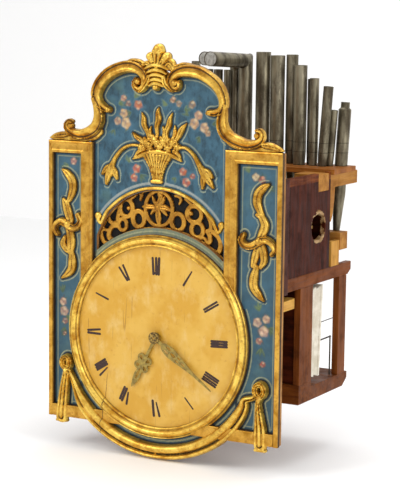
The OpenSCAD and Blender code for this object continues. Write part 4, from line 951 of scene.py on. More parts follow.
ROSES = [
    # x, z, radius, petal colour, second colour
    (-105, 749, 9, "#d39a74", "#9a6a50"), (-66, 735, 13, "#cf7c40", "#a0502c"), (-92, 738, 9, "#8d6450", "#6a4c42"),
    (-104, 715, 12, "#d2a974", "#a47c56"), (-120, 697, 11, "#cb9c6c", "#a3775a"), (-98, 693, 15, "#dcbb80", "#b3865a"),
    (24, 750, 9, "#bc8250", "#8f603e"), (38, 742, 9, "#b28c60", "#856546"), (72, 741, 11, "#9c7c5c", "#745c48"),
    (88, 718, 12, "#d9a978", "#b07c58"), (78, 700, 14, "#d2a672", "#a37852"), (103, 692, 13, "#d8b080", "#ab7f5a"),
    (112, 680, 9, "#b88f66", "#8a6a4c"), (-70, 592, 12, "#cc6a40", "#a84a2c"), (-76, 571, 11, "#cc7446", "#a8502e"),
    (50, 592, 11, "#c87044", "#9c4e30"), (59, 569, 12, "#c86840", "#9c4a30"), (75, 583, 8, "#b8583a", "#88442e"),
    (-238, 600, 10, "#cc9480", "#9c665a"), (-266, 271, 11, "#d2aa8c", "#96705c"), (-263, 249, 13, "#dcb496", "#a47a64"),
    (-261, 226, 9, "#b07058", "#7b4c40"), (-262, 196, 6, "#9c6a50", "#6c4a3c"), (232, 591, 10, "#dec898", "#b49064"),
    (248, 585, 10, "#cc5430", "#883624"), (263, 281, 11, "#d8b090", "#9c745c"), (241, 272, 12, "#dcb898", "#a67e66"),
    (257, 253, 14, "#e0bea0", "#a87c68"), (246, 231, 9, "#c07a5c", "#865444"), (256, 180, 8, "#b4563e", "#783830"),
]
LEAVES = [
    (-118, 735, 30, "#56683a"), (-84, 718, 200, "#3c4c28"), (-76, 750, 60, "#5e6e40"), (-128, 678, 240, "#3c502a"),
    (-80, 676, 300, "#48582f"), (52, 728, 30, "#55683a"), (64, 716, 150, "#405430"), (122, 700, 20, "#465834"),
    (92, 672, 250, "#3a4e2a"), (10, 738, 170, "#5a6c40"), (-60, 580, 320, "#44562e"), (-88, 604, 120, "#596a3c"),
    (34, 578, 220, "#44562e"), (84, 600, 40, "#556838"), (-252, 590, 200, "#50643a"), (-226, 612, 50, "#5a6c40"),
    (-268, 292, 100, "#3e522a"), (-256, 238, 330, "#566a3c"), (216, 600, 130, "#5a6c40"), (262, 572, 330, "#44562e"),
    (268, 262, 330, "#40542a"), (246, 298, 110, "#566a3c"), (252, 216, 270, "#44562e"), (-262, 210, 260, "#44562e"),
]


def brush(colour, cover, code, strength):
    """Lays one colour over what is already painted."""
    new = np.array(linear(code)[:3]) if isinstance(code, str) else np.array(code)
    strength = strength[:, None]
    colour[:] = colour * (1 - strength) + new * strength
    cover[:] = 1 - (1 - cover) * (1 - strength[:, 0])


def soft(value, edge):
    """1 well inside, 0 outside, with a soft edge that many millimetres wide."""
    t = np.clip(value / edge + 0.5, 0, 1)
    return t * t * (3 - 2 * t)


def dab(x, z, middle, a, out, long, wide, turn):
    """One touch of the brush, that far out from the middle towards a, and turned: positive inside its oval."""
    dx, dz = x - middle[0] - out * math.cos(a), z - middle[1] - out * math.sin(a)
    u, v = math.cos(turn), math.sin(turn)
    return 1 - np.hypot((dx * u + dz * v) / long, (dz * u - dx * v) / wide)


def paint_flowers(x, z, colour, cover):
    """Loose roses with leaves: every petal is one touch of the brush, over a darker ground."""
    rng = np.random.default_rng(11)
    for lx, lz, turn, code in LEAVES:
        for spread in (-34, -6, 26):
            a = math.radians(turn + spread + rng.uniform(-8, 8))
            reach = rng.uniform(7, 11)
            touch = dab(x, z, (lx, lz), a, reach, reach, rng.uniform(2.8, 4.2), a)
            brush(colour, cover, code, 0.8 * soft(touch, 0.7))
            light = dab(x, z, (lx, lz + 1.5), a, reach, reach * 0.6, 1.2, a)
            brush(colour, cover, "#8c9660", 0.3 * soft(light, 0.8))
    for rx, rz, r, petal, shade in ROSES:
        middle = rx, rz
        for code in ("#3c4c28", "#54663a", "#4a3a26", "#3c4c28", "#54663a", "#4a3a26", "#3c4c28"):
            a, out = rng.uniform(0, 6.3), rng.uniform(0.5, 1.15) * r
            touch = dab(x, z, middle, a, out, rng.uniform(3.5, 7), rng.uniform(1.6, 3), rng.uniform(0, 3))
            brush(colour, cover, code, rng.uniform(0.3, 0.75) * soft(touch, 0.8))
        wobble = r * (0.86 + 0.1 * np.sin(5 * np.arctan2(z - rz, x - rx) + rx))
        brush(colour, cover, shade, 0.72 * soft(1 - np.hypot(x - rx, z - rz) / wobble, 0.5))
        for k in range(14):
            a, out = 2.4 * k + rng.uniform(-0.4, 0.4), r * (0.62 if k < 8 else 0.34)
            touch = dab(x, z, middle, a, out, r * rng.uniform(0.26, 0.42), r * rng.uniform(0.15, 0.25), a + 1.57)
            code = (petal, shade, petal, "#dcc298")[k % 4]
            brush(colour, cover, code, rng.uniform(0.25, 0.75) * soft(touch, 0.9))
        heart = dab(x, z, (rx + 1, rz - 1), 0, 0, 0.26 * r, 0.18 * r, 0.6)
        brush(colour, cover, shade, 0.5 * soft(heart, 0.9))


# Edges of the gilt frame's bars: the board's sides, the outer stiles, the inner stiles, and the top and bottom rails
SIDE, OUTER = 300, 289
LEFT_BAR, RIGHT_BAR = (-212, -181), (161, 192)
TOP_RAIL, FOOT_RAIL = (619, 647), (0, 28)
# Where the side fields and the middle field meet, under the inner stiles
JOINS = (-206, 186)
# Under this height the middle field lies below the dial, over it above
HALF_WAY = 380
# The board's head between the scrolls, from its foot to its middle
CREST_EDGE = [
    (158, 640), (158, 690), (160, 712), (160, 740), (156, 764), (144, 785), (124, 802), (96, 813), (66, 813), (40, 808),
]


def crest_x(u):
    """Carries a place drawn for an even board to this one, whose middle is 10 mm left."""
    return AXIS[0] + u * (310 if u > 0 else 290) / 300


def inside_polygon(corners_xz, x, z):
    """How far inside a polygon each point lies, below zero outside."""
    points = np.array(corners_xz, float)
    near = np.full(len(x), 1e9)
    odd = np.zeros(len(x), bool)
    for a, b in zip(points, np.roll(points, -1, 0)):
        edge_x, edge_z = b - a
        t = np.clip(((x - a[0]) * edge_x + (z - a[1]) * edge_z) / (edge_x**2 + edge_z**2), 0, 1)
        near = np.minimum(near, np.hypot(x - a[0] - t * edge_x, z - a[1] - t * edge_z))
        if edge_z:
            odd ^= ((a[1] > z) != (b[1] > z)) & (x < a[0] + (z - a[1]) * edge_x / edge_z)
    return np.where(odd, near, -near)


def board_front(x, z):
    """How far inside the board's painted front each point lies."""
    edge = [(crest_x(u), v) for u, v in CREST_EDGE] + [(crest_x(-u), v) for u, v in CREST_EDGE[::-1]]
    radius = from_dial(x, z)
    square = np.minimum.reduce([SIDE - 1.5 - np.abs(x), z - 2.5, TOP_RAIL[1] - 2.5 - z])
    whole = np.maximum.reduce([square, inside_polygon(edge, x, z), 261.5 - radius])
    return np.minimum.reduce([whole, radius - 230, -window(x, z)])


def board_corner(x, z):
    """The board's small corners between the top rails and the lower scrolls."""
    left = inside_polygon([(-162.7, 645), (-162.7, 682), (-172, 668), (-184, 657), (-194, 645)], x, z)
    return np.maximum(left, inside_polygon([(153.3, 645), (153.3, 682), (162, 668), (175, 657), (186, 645)], x, z))


# Each painted sheet: its box on the board, its outline, and how deep it goes
FIELDS = {
    "painted_field_middle": ((*JOINS, HALF_WAY, 826), board_front, 0.5),
    "painted_field_left": ((-299, JOINS[0], 2, 645), board_front, 0.5),
    "painted_field_right": ((JOINS[1], 299, 2, 645), board_front, 0.5),
    "painted_field_foot": ((*JOINS, -50, 130), board_front, 0.5),
    "painted_corners": ((-196, 188, 644, 684), board_corner, 9.0),
}


def bar_distance(x, z):
    """How far each point lies from the nearest straight bar round its own field."""
    edges = (-OUTER, OUTER, LEFT_BAR[0], RIGHT_BAR[1])
    upright = np.minimum.reduce([np.abs(x - edge) for edge in edges])
    in_side = (x < JOINS[0]) | (x > JOINS[1])
    straight = np.where(in_side, np.minimum.reduce([upright, np.abs(z - TOP_RAIL[0]), np.abs(z - FOOT_RAIL[1])]), FAR)
    inner = np.minimum(np.abs(x - LEFT_BAR[1]), np.abs(x - RIGHT_BAR[0]))
    return np.where(~in_side & (z > HALF_WAY), inner, straight)


# ---------------------------------------------------------------- settings and operators


def length_setting(name, description, default, low=0.0):
    """A setting in millimetres, which Blender keeps in metres."""
    return FloatProperty(name=name, description=description, default=default * MM, min=low * MM, unit="LENGTH")


def colour_setting(name, description, code):
    """A setting for a colour."""
    return FloatVectorProperty(name=name, description=description, subtype="COLOR", size=3, default=linear(code)[:3])


class ClockSizes(bpy.types.PropertyGroup):
    """Sizes that a user would change."""

    carving_cell: length_setting("Carving Cell", "Spacing of the carving's mesh", 1.6, 0.8)
    paint_cell: length_setting("Paint Cell", "Spacing of the painted fields' mesh", 2.0, 0.8)
    worn_edge: length_setting("Worn Edge", "Radius worn on the edges of boards", 1.2)
    pleat: length_setting("Bellows Pleat", "How far the bellows leather folds inwards", 10)


class ClockColours(bpy.types.PropertyGroup):
    """Colours that a user would change."""

    outline: colour_setting("Outline", "Painted line round the carvings", "#adae84")
    strip: colour_setting("Olive Strip", "Painted strip over the dial", "#7f8058")


class Dress:
    """What every operator of this panel shares."""

    bl_options = {"REGISTER", "UNDO"}

    @property
    def cell(self):
        return bpy.context.scene.clock_sizes.carving_cell / MM


class CLOCK_OT_stage(Dress, bpy.types.Operator):
    """Camera, pale floor and soft studio lights"""

    bl_idname = "clock.stage"
    bl_label = "Studio"

    def execute(self, context):
        scene = context.scene
        # Solved from the board's edges and the dial's outline
        right = Vector((0.87424, 0.48536, 0.01168))
        up = Vector((-0.07844, 0.11746, 0.98999))
        ahead = Vector((-0.47912, 0.86639, -0.14076))
        data = bpy.data.cameras.new("camera")
        data.lens, data.sensor_width, data.clip_end = 127.01, 36.0, 40.0
        scene.camera = bpy.data.objects.new("camera", data)
        scene.collection.objects.link(scene.camera)
        turn = Matrix((right, up, -ahead)).transposed().to_4x4()
        scene.camera.matrix_world = Matrix.Translation((1.93747, -3.56419, 0.89872)) @ turn

        below = (0, 0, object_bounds()[0][2] - 0.002)
        floor = primitive("studio_floor", bpy.ops.mesh.primitive_plane_add, size=14, location=below)
        bpy.ops.object.transform_apply(location=True)
        # The floor ends behind the clock, and is drawn up from there as a leaning wall
        wall = 3.2
        for v in floor.data.vertices:
            v.co.y = min(v.co.y, wall)
        bpy.ops.object.mode_set(mode="EDIT")
        bpy.ops.mesh.select_all(action="DESELECT")
        bpy.ops.object.mode_set(mode="OBJECT")
        for e in floor.data.edges:
            e.select = all(floor.data.vertices[i].co.y > wall - 0.2 for i in e.vertices)
        bpy.ops.object.mode_set(mode="EDIT")
        bpy.ops.mesh.extrude_region_move(TRANSFORM_OT_translate={"value": (0, 1.6, 6)})
        bpy.ops.object.mode_set(mode="OBJECT")
        floor.data.materials.append(finish("floor"))
        floor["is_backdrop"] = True

        for name, at, aim, size, power, tint in (
            ("key_softbox", (-1.5, -2.6, 2.4), (0, -0.1, 0.4), (1.4, 1.8), 40, (1.0, 0.98, 0.95)),
            ("side_softbox", (2.6, -1.0, 1.5), (0.1, 0, 0.4), (1.2, 2.0), 22, (1.0, 0.99, 0.97)),
            ("top_softbox", (0.2, 0.4, 2.8), (0, 0, 0.5), (2.0, 1.6), 26, (1.0, 1.0, 1.0)),
        ):
            lamp = bpy.data.lights.new(name, "AREA")
            lamp.shape, lamp.size, lamp.size_y = "RECTANGLE", *size
            lamp.energy, lamp.color = power, tint
            obj = bpy.data.objects.new(name, lamp)
            scene.collection.objects.link(obj)
            obj.location = at
            obj.rotation_euler = (Vector(aim) - Vector(at)).to_track_quat("-Z", "Y").to_euler()
        scene.world = scene.world or bpy.data.worlds.new("studio_world")
        scene.world.use_nodes = True
        sky = scene.world.node_tree.nodes["Background"]
        sky.inputs["Color"].default_value = (1.0, 1.0, 1.0, 1)
        sky.inputs["Strength"].default_value = 0.8
        scene.view_settings.view_transform = "Standard"
        return {"FINISHED"}


class CLOCK_OT_painted_fields(Dress, bpy.types.Operator):
    """Blue distemper fields with a painted shadow and a light line round every carving, painted shade over the side
    fields, and loose roses
    """

    bl_idname = "clock.painted_fields"
    bl_label = "Painted Fields"

    def execute(self, context):
        cell = context.scene.clock_sizes.paint_cell / MM
        left, right = crest_members()
        self.carved = left + right + finial_members() + basket_members() + ribbon_members() + swag_members()
        for name, (box, outline, deep) in FIELDS.items():
            obj = grid(name, *box, cell)
            co = vertices(obj) / MM
            keep_positive(obj, outline(co[:, 0], co[:, 2]))
            front = thicken(obj)
            co = vertices(obj) / MM
            co[:, 1] = np.where(front, PANEL_Y - 0.5, PANEL_Y - 0.5 + deep)
            attribute(obj, "paint", self.paint(co[:, 0], co[:, 2], context.scene.clock_colours))
            set_vertices(obj, co * MM)
            edit(OUTWARDS)
            settle(to_frame(obj), "distemper", "case", "painted_board")
        return {"FINISHED"}

    def paint(self, x, z, colours):
        """Colour and cover of the paint that lies over the blue ground, with painted shade over the side fields and a
        painted shadow round the carvings.
        """
        colour = np.tile(np.array(linear("#4f8096")[:3]), (len(x), 1))
        cover = np.zeros(len(x))
        radius = from_dial(x, z)
        # Painted shade: the side fields, outside the inner stiles, are darkened
        brush(colour, cover, "#162c38", 0.55 * soft(LEFT_BAR[0] - x, 4) + 0.55 * soft(x - RIGHT_BAR[1], 4))
        brush(colour, cover, colours.strip[:], 0.9 * soft(np.minimum(249 - radius, z - HALF_WAY), 2))
        paint_flowers(x, z, colour, cover)
        outside = -relief(self.carved, (), x, z)[0]
        outside = np.minimum(outside, np.where(z < 300, radius - 233, FAR))
        straight = bar_distance(x, z)
        near = np.minimum(outside, straight)
        clear = near > 3.4
        # Painted shadow: a near-black band round every carving, bar and the ring round the dial
        brush(colour, cover, "#100b08", 0.9 * soft(3.9 - near, 2.6))
        round_carving = 0.9 * soft(1.35 - np.abs(outside - 6.2), 1.5)
        along_bar = 0.8 * soft(1.15 - np.abs(straight - 8.5), 1.5)
        round_dial = 0.85 * soft(1.3 - np.abs(radius - 240) - FAR * (z < HALF_WAY), 1.4)
        line = np.maximum.reduce([round_carving, along_bar, round_dial])
        brush(colour, cover, colours.outline[:], np.where(clear, line, 0))
        over_arch = np.where(z > HALF_WAY, np.abs(window(x, z) + 16.5), FAR)
        brush(colour, cover, "#a6a89e", 0.88 * soft(3.2 - over_arch, 1.8) * clear)
        return np.hstack([colour, cover[:, None]])


def moulding(name, section, start, end, along, lean):
    """Sweeps a closed section of (across, y) points straight along x or z; lean is each end's slope for a mitre."""
    obj = primitive(name, bpy.ops.mesh.primitive_circle_add, vertices=len(section), fill_type="NGON")
    run, side = (2, 0) if along == "z" else (0, 2)
    co = np.full((len(section), 3), float(start))
    co[:, side], co[:, 1] = np.array(section, float).T
    set_vertices(obj, co * MM)
    step = [0, 0, 0]
    step[run] = (end - start) * MM
    edit((bpy.ops.mesh.extrude_region_move, {"TRANSFORM_OT_translate": {"value": step}}), EVERYTHING, OUTWARDS)
    co = vertices(obj) / MM
    slope = np.where(co[:, run] < (start + end) / 2, *lean)
    co[:, run] += slope * (co[:, side] - section[0][0])
    set_vertices(obj, co * MM)
    return obj


def frame_section(lo, hi, bead=0.0, groove=True):
    """Front profile of a gilt bar between lo and hi: rounded arrises, a sunk panel and an optional bead."""
    w = hi - lo
    points = [(lo, 12), (lo, 2.2), (lo + 0.6, 0.8), (lo + 2, 0.1)]
    if groove and w > 20:
        points += [(lo + 5, 0.2), (lo + 6, 1.0), (lo + 8.5, 1.6)]
        if bead:
            mid = lo + w * bead
            points += [(mid - 3.2, 1.6), (mid - 2.2, 0.8), (mid, 0.5), (mid + 2.2, 0.8), (mid + 3.2, 1.6)]
        points += [(hi - 8.5, 1.6), (hi - 6, 1.0), (hi - 5, 0.2)]
    else:
        points += [(lo + w * 0.5, 0.0)]
    points += [(hi - 2, 0.1), (hi - 0.6, 0.8), (hi, 2.2), (hi, 12)]
    return points


def wear_and_shade_by_depth(obj, base, reach):
    """Dirt and painted shade in the sunk parts and on the sides of a moulding, by how far they lie behind its front."""
    co = vertices(obj) / MM
    attribute(obj, "wear_and_shade", np.clip((co[:, 1] - base) / reach, -0.3, 0.9))


class CLOCK_OT_frame_mouldings(Dress, bpy.types.Operator):
    """Gilt stiles and rails round the painted fields"""

    bl_idname = "clock.frame_mouldings"
    bl_label = "Frame Mouldings"

    def execute(self, context):
        # Slopes of the mitres: the rail's height over the width of the outer and of the inner stile
        low, high = TOP_RAIL
        outer, inner = (high - low) / (SIDE - OUTER), (high - low) / (LEFT_BAR[1] - LEFT_BAR[0])
        top, foot = frame_section(*TOP_RAIL), frame_section(*FOOT_RAIL, 0, False)
        bars = [
            ("outer_stile_left", frame_section(-SIDE, -OUTER), 0, high, "z", (0, -outer)),
            ("outer_stile_right", frame_section(OUTER, SIDE), 0, low, "z", (0, outer)),
            ("inner_stile_left", frame_section(*LEFT_BAR, 0.55), 330, low, "z", (0, inner)),
            ("inner_stile_right", frame_section(*RIGHT_BAR, 0.5), 326, high, "z", (0, -inner)),
            ("top_rail_left", top, -OUTER, LEFT_BAR[0], "x", (-1 / outer, 1 / inner)),
            ("top_rail_right", top, RIGHT_BAR[1], OUTER, "x", (-1 / inner, 1 / outer)),
            ("bottom_rail_left", foot, -OUTER, -104, "x", (0, 0)),
            ("bottom_rail_right", foot, 84, OUTER, "x", (0, 0)),
        ]
        for name, *shape in bars:
            obj = moulding(name, *shape)
            wear_and_shade_by_depth(obj, 1.0, 5.0)
            smooth(obj, 35)
            settle(to_frame(obj), "gilding_bar", "case", "gilt_wood")
        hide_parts("facade_frame")
        return {"FINISHED"}


class CLOCK_OT_crest(Dress, bpy.types.Operator):
    """Two pairs of gilt scrolls and the shell with its palmette"""

    bl_idname = "clock.crest"
    bl_label = "Crest"

    def execute(self, context):
        left, right = crest_members()
        for side, x0, x1, members in (("left", -300, -30, left), ("right", 8, 300, right)):
            obj = carve("crest_scroll_" + side, (x0, x1, 647, 842), self.cell, members)
            settle(obj, "gilding", "case", "gilt_wood", "crest_scrolls")
        obj = carve("crest_shell_and_palmette", (-62, 52, 758, 876), self.cell * 0.75, finial_members())
        settle(obj, "gilding_bright", "case", "gilt_wood", "crest_finial")
        return {"FINISHED"}


class CLOCK_OT_basket(Dress, bpy.types.Operator):
    """Flower basket with leaves and two drooping stems"""

    bl_idname = "clock.basket"
    bl_label = "Flower Basket"

    def execute(self, context):
        box = (-162, 144, 550, 734)
        obj = carve("carved_flower_basket", box, self.cell * 0.85, basket_members(), basket_cuts())
        settle(obj, "gilding", "case", "gilt_wood", "basket_relief")
        return {"FINISHED"}


class CLOCK_OT_fretwork(Dress, bpy.types.Operator):
    """Pierced acanthus screen, the roll moulding that arches over it, and the linen behind it"""

    bl_idname = "clock.fretwork"
    bl_label = "Fretwork"

    def execute(self, context):
        def under_rim(x, z):
            """The screen stays low where the arch's moulding lies over its rim."""
            return np.where(window(x, z) < 1.5, 3.8, FAR)

        screen = carve("pierced_acanthus_screen", (-188, 168, 380, 562), self.cell * 0.95, fret_members(),
                       wall=26, lowest=3.2, ceiling=under_rim)
        settle(screen, "gilding_flat", "case", "gilt_wood", "fretwork_screen")
        cx, cz, r = ARCH
        ends = [(160, 478, 6), (158, 468, 4.2), (151, 463, 4.2), (146, 472, 4.2)]
        path = [(cx + u, z, w) for u, z, w in ends] + polar(cx, cz, r, 41, 139, 4.2)
        path += [(cx - u, z, w) for u, z, w in ends[::-1]]
        members = [stroke(path, 8), knob(cx - 160, 479, 8.8, 8), knob(cx + 160, 479, 8.8, 8)]
        obj = carve("arch_moulding", (-182, 162, 455, 560), self.cell * 0.8, members)
        settle(obj, "gilding_bright", "case", "gilt_wood", "fret_arch")

        linen = grid("sound_linen", -185, 165, 380, 560, 5)
        co = vertices(linen) / MM
        keep_positive(linen, window(co[:, 0], co[:, 2], 6.0))
        co = vertices(linen) / MM
        slack = np.clip(window(co[:, 0], co[:, 2]) / 20, 0, 1)
        co[:, 1] = 26.4 + 0.35 * slack * (1 + np.sin(co[:, 0] / 17) * np.sin(co[:, 2] / 23 + 1))
        set_vertices(linen, co * MM)
        solidify(linen, 0.5 * MM)
        edit(OUTWARDS)
        lo, hi = vertices(linen).min(0), vertices(linen).max(0)
        smooth(linen)
        settle(to_frame(linen), "cloth", "case", "sound_cloth", "sound_cloth")
        return {"FINISHED"}


class CLOCK_OT_ribbons(Dress, bpy.types.Operator):
    """Flowing leaves and cross scrolls on the side fields"""

    bl_idname = "clock.ribbons"
    bl_label = "Side Ribbons"

    def execute(self, context):
        members = ribbon_members()
        for side, box in (("left", (-296, -202, 316, 588)), ("right", (190, 294, 312, 588))):
            obj = carve("carved_ribbon_" + side, box, self.cell * 0.9, members)
            settle(obj, "gilding", "case", "gilt_wood", "ribbon_reliefs")
        return {"FINISHED"}


class CLOCK_OT_swag(Dress, bpy.types.Operator):
    """Drapery swag under the dial, with its bows and tails"""

    bl_idname = "clock.swag"
    bl_label = "Drapery Swag"

    def execute(self, context):
        members = swag_members()
        for side, x0, x1 in (("left", -292, AXIS[0]), ("right", AXIS[0], 292)):
            obj = carve("drapery_swag_" + side, (x0, x1, -69, 152), self.cell, members)
            settle(obj, "gilding_bright", "case", "gilt_wood", "drapery_swag")
        return {"FINISHED"}


# Half section of the ring round the dial, as radius and y
BEZEL = [
    (207, 12), (207, -1.5), (207.6, -2.8), (209, -3.4), (210.4, -2.8), (211, -1.6), (212, -0.8), (213.2, -0.9),
    (214.2, -2.6), (216, -5.4), (218.5, -7.4), (221, -8), (223, -7.4), (224.6, -5.8), (225.4, -4.2), (226.6, -3.6),
    (227.4, -2.4), (228, 0.2), (229.2, 1.2), (230.2, 0.2), (231.6, -0.4), (232.6, 0.6), (233, 2.4), (233, 12),
]
# Its dirt and painted shade in the coves, by radius
BEZEL_WEAR_AND_SHADE = (
    [207, 209, 211.5, 213, 216, 221, 226, 228, 229.5, 231.5, 233],
    [0.1, -0.2, 0.3, 0.3, -0.05, -0.3, 0.0, 0.35, 0.35, 0.0, 0.3],
)


class CLOCK_OT_bezel(Dress, bpy.types.Operator):
    """Turned and gilt bezel round the dial"""

    bl_idname = "clock.bezel"
    bl_label = "Bezel"

    def execute(self, context):
        obj = primitive("gilt_bezel", bpy.ops.mesh.primitive_circle_add, vertices=len(BEZEL), fill_type="NOTHING")
        ax, az = AXIS
        set_vertices(obj, np.array([(ax + r, y, az) for r, y in BEZEL]) * MM)
        spin = {"steps": 160, "angle": 2 * math.pi, "center": (ax * MM, 0, az * MM), "axis": (0, 1, 0)}
        edit((bpy.ops.mesh.spin, spin), EVERYTHING, (bpy.ops.mesh.remove_doubles, {"threshold": 0.00002}), OUTWARDS)
        co = vertices(obj) / MM
        deep = np.interp(from_dial(co[:, 0], co[:, 2]), *BEZEL_WEAR_AND_SHADE)
        # Behind y = 4 the ring's inner and outer walls get a high value: painted shade
        attribute(obj, "wear_and_shade", np.where(co[:, 1] > 4, 0.8, deep))
        smooth(obj, 50)
        settle(to_frame(obj), "gilding_bright", "case", "gilt_wood", "dial_bezel")
        return {"FINISHED"}


# Strokes of the hour numerals: x, z and half width at each end
NUMERALS = [
    [(-22, 394, 1.9), (-19.6, 358, 2.2)], [(-13, 394, 2.2), (-12, 358, 2.2)], [(-5, 394, 2.2), (-6, 358, 2.2)],
    [(79, 371, 0.8), (58.5, 339, 1.9)],
    [(143, 309, 1.7), (111, 289, 1.6)], [(146.5, 303.5, 1.6), (114, 284, 1.6)],
    [(131, 220, 1.8), (170, 222, 1.8)], [(131, 214, 1.8), (170, 216, 1.8)], [(131, 208, 1.8), (170, 210, 1.8)],
    [(118, 148, 1.7), (150, 132, 1.7)], [(115, 142.8, 1.6), (147.4, 127, 1.6)],
    [(112, 137.8, 1.6), (144.7, 121.6, 1.6)], [(109.4, 132.6, 1.7), (141.8, 116.6, 1.7)],
    [(65, 83, 0.6), (86, 60, 1.2)],
    [(-19, 66, 2.2), (-15.6, 32, 2.2)], [(-9.7, 63, 0.9), (-1, 33, 2.1)],
    [(-93.5, 89, 2), (-106, 61, 2)], [(-87.5, 86, 2), (-100.5, 57, 2)], [(-84, 77, 1.5), (-88.5, 50.6, 2)],
    [(-147, 148, 1.9), (-173, 131.5, 1.9)], [(-144, 142.6, 1.9), (-170.4, 126, 1.9)],
    [(-141, 137.6, 1.9), (-167.6, 121, 1.9)], [(-141, 129, 1.2), (-160, 109.5, 1.8)],
    [(-161, 216.5, 1.7), (-193, 212, 1.9)], [(-161, 205.8, 1.9), (-193, 206, 1.9)],
    [(-171.5, 300.6, 0.9), (-139.7, 288.8, 1.7)],
    [(-109.7, 365, 1.7), (-88.5, 337.5, 1.9)], [(-99.6, 370.6, 1.9), (-83.6, 339.6, 1.9)],
]
# Holes in the minute hand: across, along, half width and length
MINUTE_HOLES = [
    (-5.2, 42, 3, 9), (5.2, 42, 3, 9), (0, 60, 3.6, 10), (-4.4, 76, 2.2, 7), (4.4, 76, 2.2, 7), (0, 92, 2.4, 8),
]


def on_hand(paths, degrees, height, step=2.0):
    """Strokes drawn on an upright hand, as across, along and half width, at the hand's place on the dial."""
    c, s = math.cos(math.radians(degrees)), math.sin(math.radians(degrees))
    return [
        stroke([(AXIS[0] + v * s + u * c, AXIS[1] + v * c - u * s, w) for u, v, w in path], height, "flat", step)
        for path in paths
    ]


class CLOCK_OT_dial(Dress, bpy.types.Operator):
    """Brushed hour strokes on the dial, and its two pierced hands"""

    bl_idname = "clock.dial"
    bl_label = "Dial and Hands"

    def execute(self, context):
        strokes = []
        for points in NUMERALS:
            strokes.append(stroke([(x, z, max(1.45 * w, 1.7)) for x, z, w in points], 0.5, "flat", 1.0))
        obj = carve("painted_hour_strokes", (-200, 180, 26, 400), 1.5, strokes, wall=5.1, lowest=0.3)
        settle(obj, "numeral", "case", "painted_dial")

        hour, minute = 207.5, 126.0
        paths = [
            [(0, 0, 12), (0, 2, 12)], [(0, 8, 4.5), (0, 30, 3.2), (0, 58, 4)],
            [(0, 84, 6), (0, 104, 8.5), (0, 122, 5), (0, 134, 1.5)],
        ]
        holes = [[(0, 0, 7.4), (0, 0.5, 7.4)], [(0, 88, 2), (0, 102, 3.4), (0, 110, 2)]]
        for a in (45, 135, 225, 315):
            paths.append([spoke(0, 70, 6, a, 9), spoke(0, 70, 14, a, 9.5)])
            holes.append([spoke(0, 70, 10, a, 2.2), spoke(0, 70, 15, a, 4.2)])
        obj = carve("pierced_hour_hand", (-86, 30, 76, 232), 1.1, on_hand(paths, hour, 2), (), on_hand(holes, hour, 1),
                    wall=1, rounds=2, lowest=1.6)
        settle(obj, "hand", "hour_work", "hand_steel", "hour_hand")

        paths = [
            [(0, 0, 11.5), (0, 2, 11.5)],
            [(0, 8, 5), (0, 24, 4.2), (0, 34, 10), (0, 46, 12.8), (0, 58, 12.5), (0, 76, 10), (0, 96, 7), (0, 118, 4),
             (0, 150, 2.6), (0, 179.5, 1.2)],
        ]
        slots = [[(u, v - tall / 2, w * 0.7), (u, v, w), (u, v + tall / 2, w * 0.7)] for u, v, w, tall in MINUTE_HOLES]
        holes = on_hand([[(0, 0, 5), (0, 0.5, 5)]], minute, 1) + on_hand(slots, minute, 1, 1.0)
        obj = carve("pierced_minute_hand", (-26, 148, 94, 232), 1.1, on_hand(paths, minute, 2), (), holes,
                    wall=-4, rounds=2, lowest=1.6)
        settle(obj, "hand", "minute_work", "hand_steel", "minute_hand")
        return {"FINISHED"}


class CLOCK_OT_bellows(Dress, bpy.types.Operator):
    """Pleated leather between the two boards of the bellows"""

    bl_idname = "clock.bellows"
    bl_label = "Bellows"

    def execute(self, context):
        pleat = context.scene.clock_sizes.pleat / MM
        x0, x1, z0, z1, front = 85.0, 285.0, 117.0, 327.0, 194.0
        obj = primitive("pleated_bellows_leather", bpy.ops.mesh.primitive_grid_add,
                        x_subdivisions=160, y_subdivisions=24, size=1)
        co = vertices(obj)
        # Once round the four sides, and across from the fixed board to the moving one
        around, t = (co[:, 0] + 0.5) % 1.0, co[:, 1] + 0.5
        side = np.floor(np.clip(around * 4, 0, 3.9999)).astype(int)
        part = np.clip(around * 4 - side, 0, 1)
        corners_x, corners_z = np.array([x0, x1, x1, x0, x0]), np.array([z0, z0, z1, z1, z0])
        x = corners_x[side] * (1 - part) + corners_x[side + 1] * part
        z = corners_z[side] * (1 - part) + corners_z[side + 1] * part
        fold = 1 - np.abs(1 - 2 * np.abs((t * 2) % 1.0))
        high = (z - z0) / (z1 - z0)
        limp = 0.5 * np.sin(x / 11 + 3 * t) * np.sin(z / 13 + 2) * np.sin(np.pi * t)
        deep = 1.4 + (fold * (0.55 + 0.45 * high)) ** 1.15 * pleat + limp * fold
        x = np.clip(x, x0 + deep, x1 - deep)
        z = np.clip(z, z0 + deep * 0.6, z1 - deep)
        y = front + 0.3 + t * (39.4 + 12 * high)
        set_vertices(obj, np.stack([x, y, z], 1) * MM)
        edit((bpy.ops.mesh.remove_doubles, {"threshold": 0.00001}), OUTWARDS)
        solidify(obj, 1.1 * MM)
        smooth(obj, 60)
        settle(to_frame(obj), "leather", None, "bellows_leather", "bellows_leather")
        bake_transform(obj)
        return {"FINISHED"}


def dressed(node, finish_name, edge):
    """Keeps a CAD node, softens its arrises where edge gives a radius, and gives it a finish."""
    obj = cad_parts[node]
    obj.data.materials.clear()
    obj.data.materials.append(finish(finish_name))
    if edge:
        obj.modifiers.new("weld", "WELD").merge_threshold = 1e-5
        worn = obj.modifiers.new("worn_edge", "BEVEL")
        worn.width, worn.segments, worn.limit_method = edge, 2, "ANGLE"
        worn.angle_limit, worn.harden_normals = math.radians(30), True


# The bent pipes: where each stands, its elbow, its near end and its radius; and the radius of their toes
MITRED = [
    ("mitred_pipe_first", (37, 330, 440), (37, 330, 828), (21.5, 183, 835.8), 17),
    ("mitred_pipe_second", (0, 354, 440), (0, 354, 828), (-14.1, 219.9, 835.1), 16),
]
TOE = 4.5
# Height of the seam between foot and body in the drawing, in metres
FOOT_TOP = 0.622


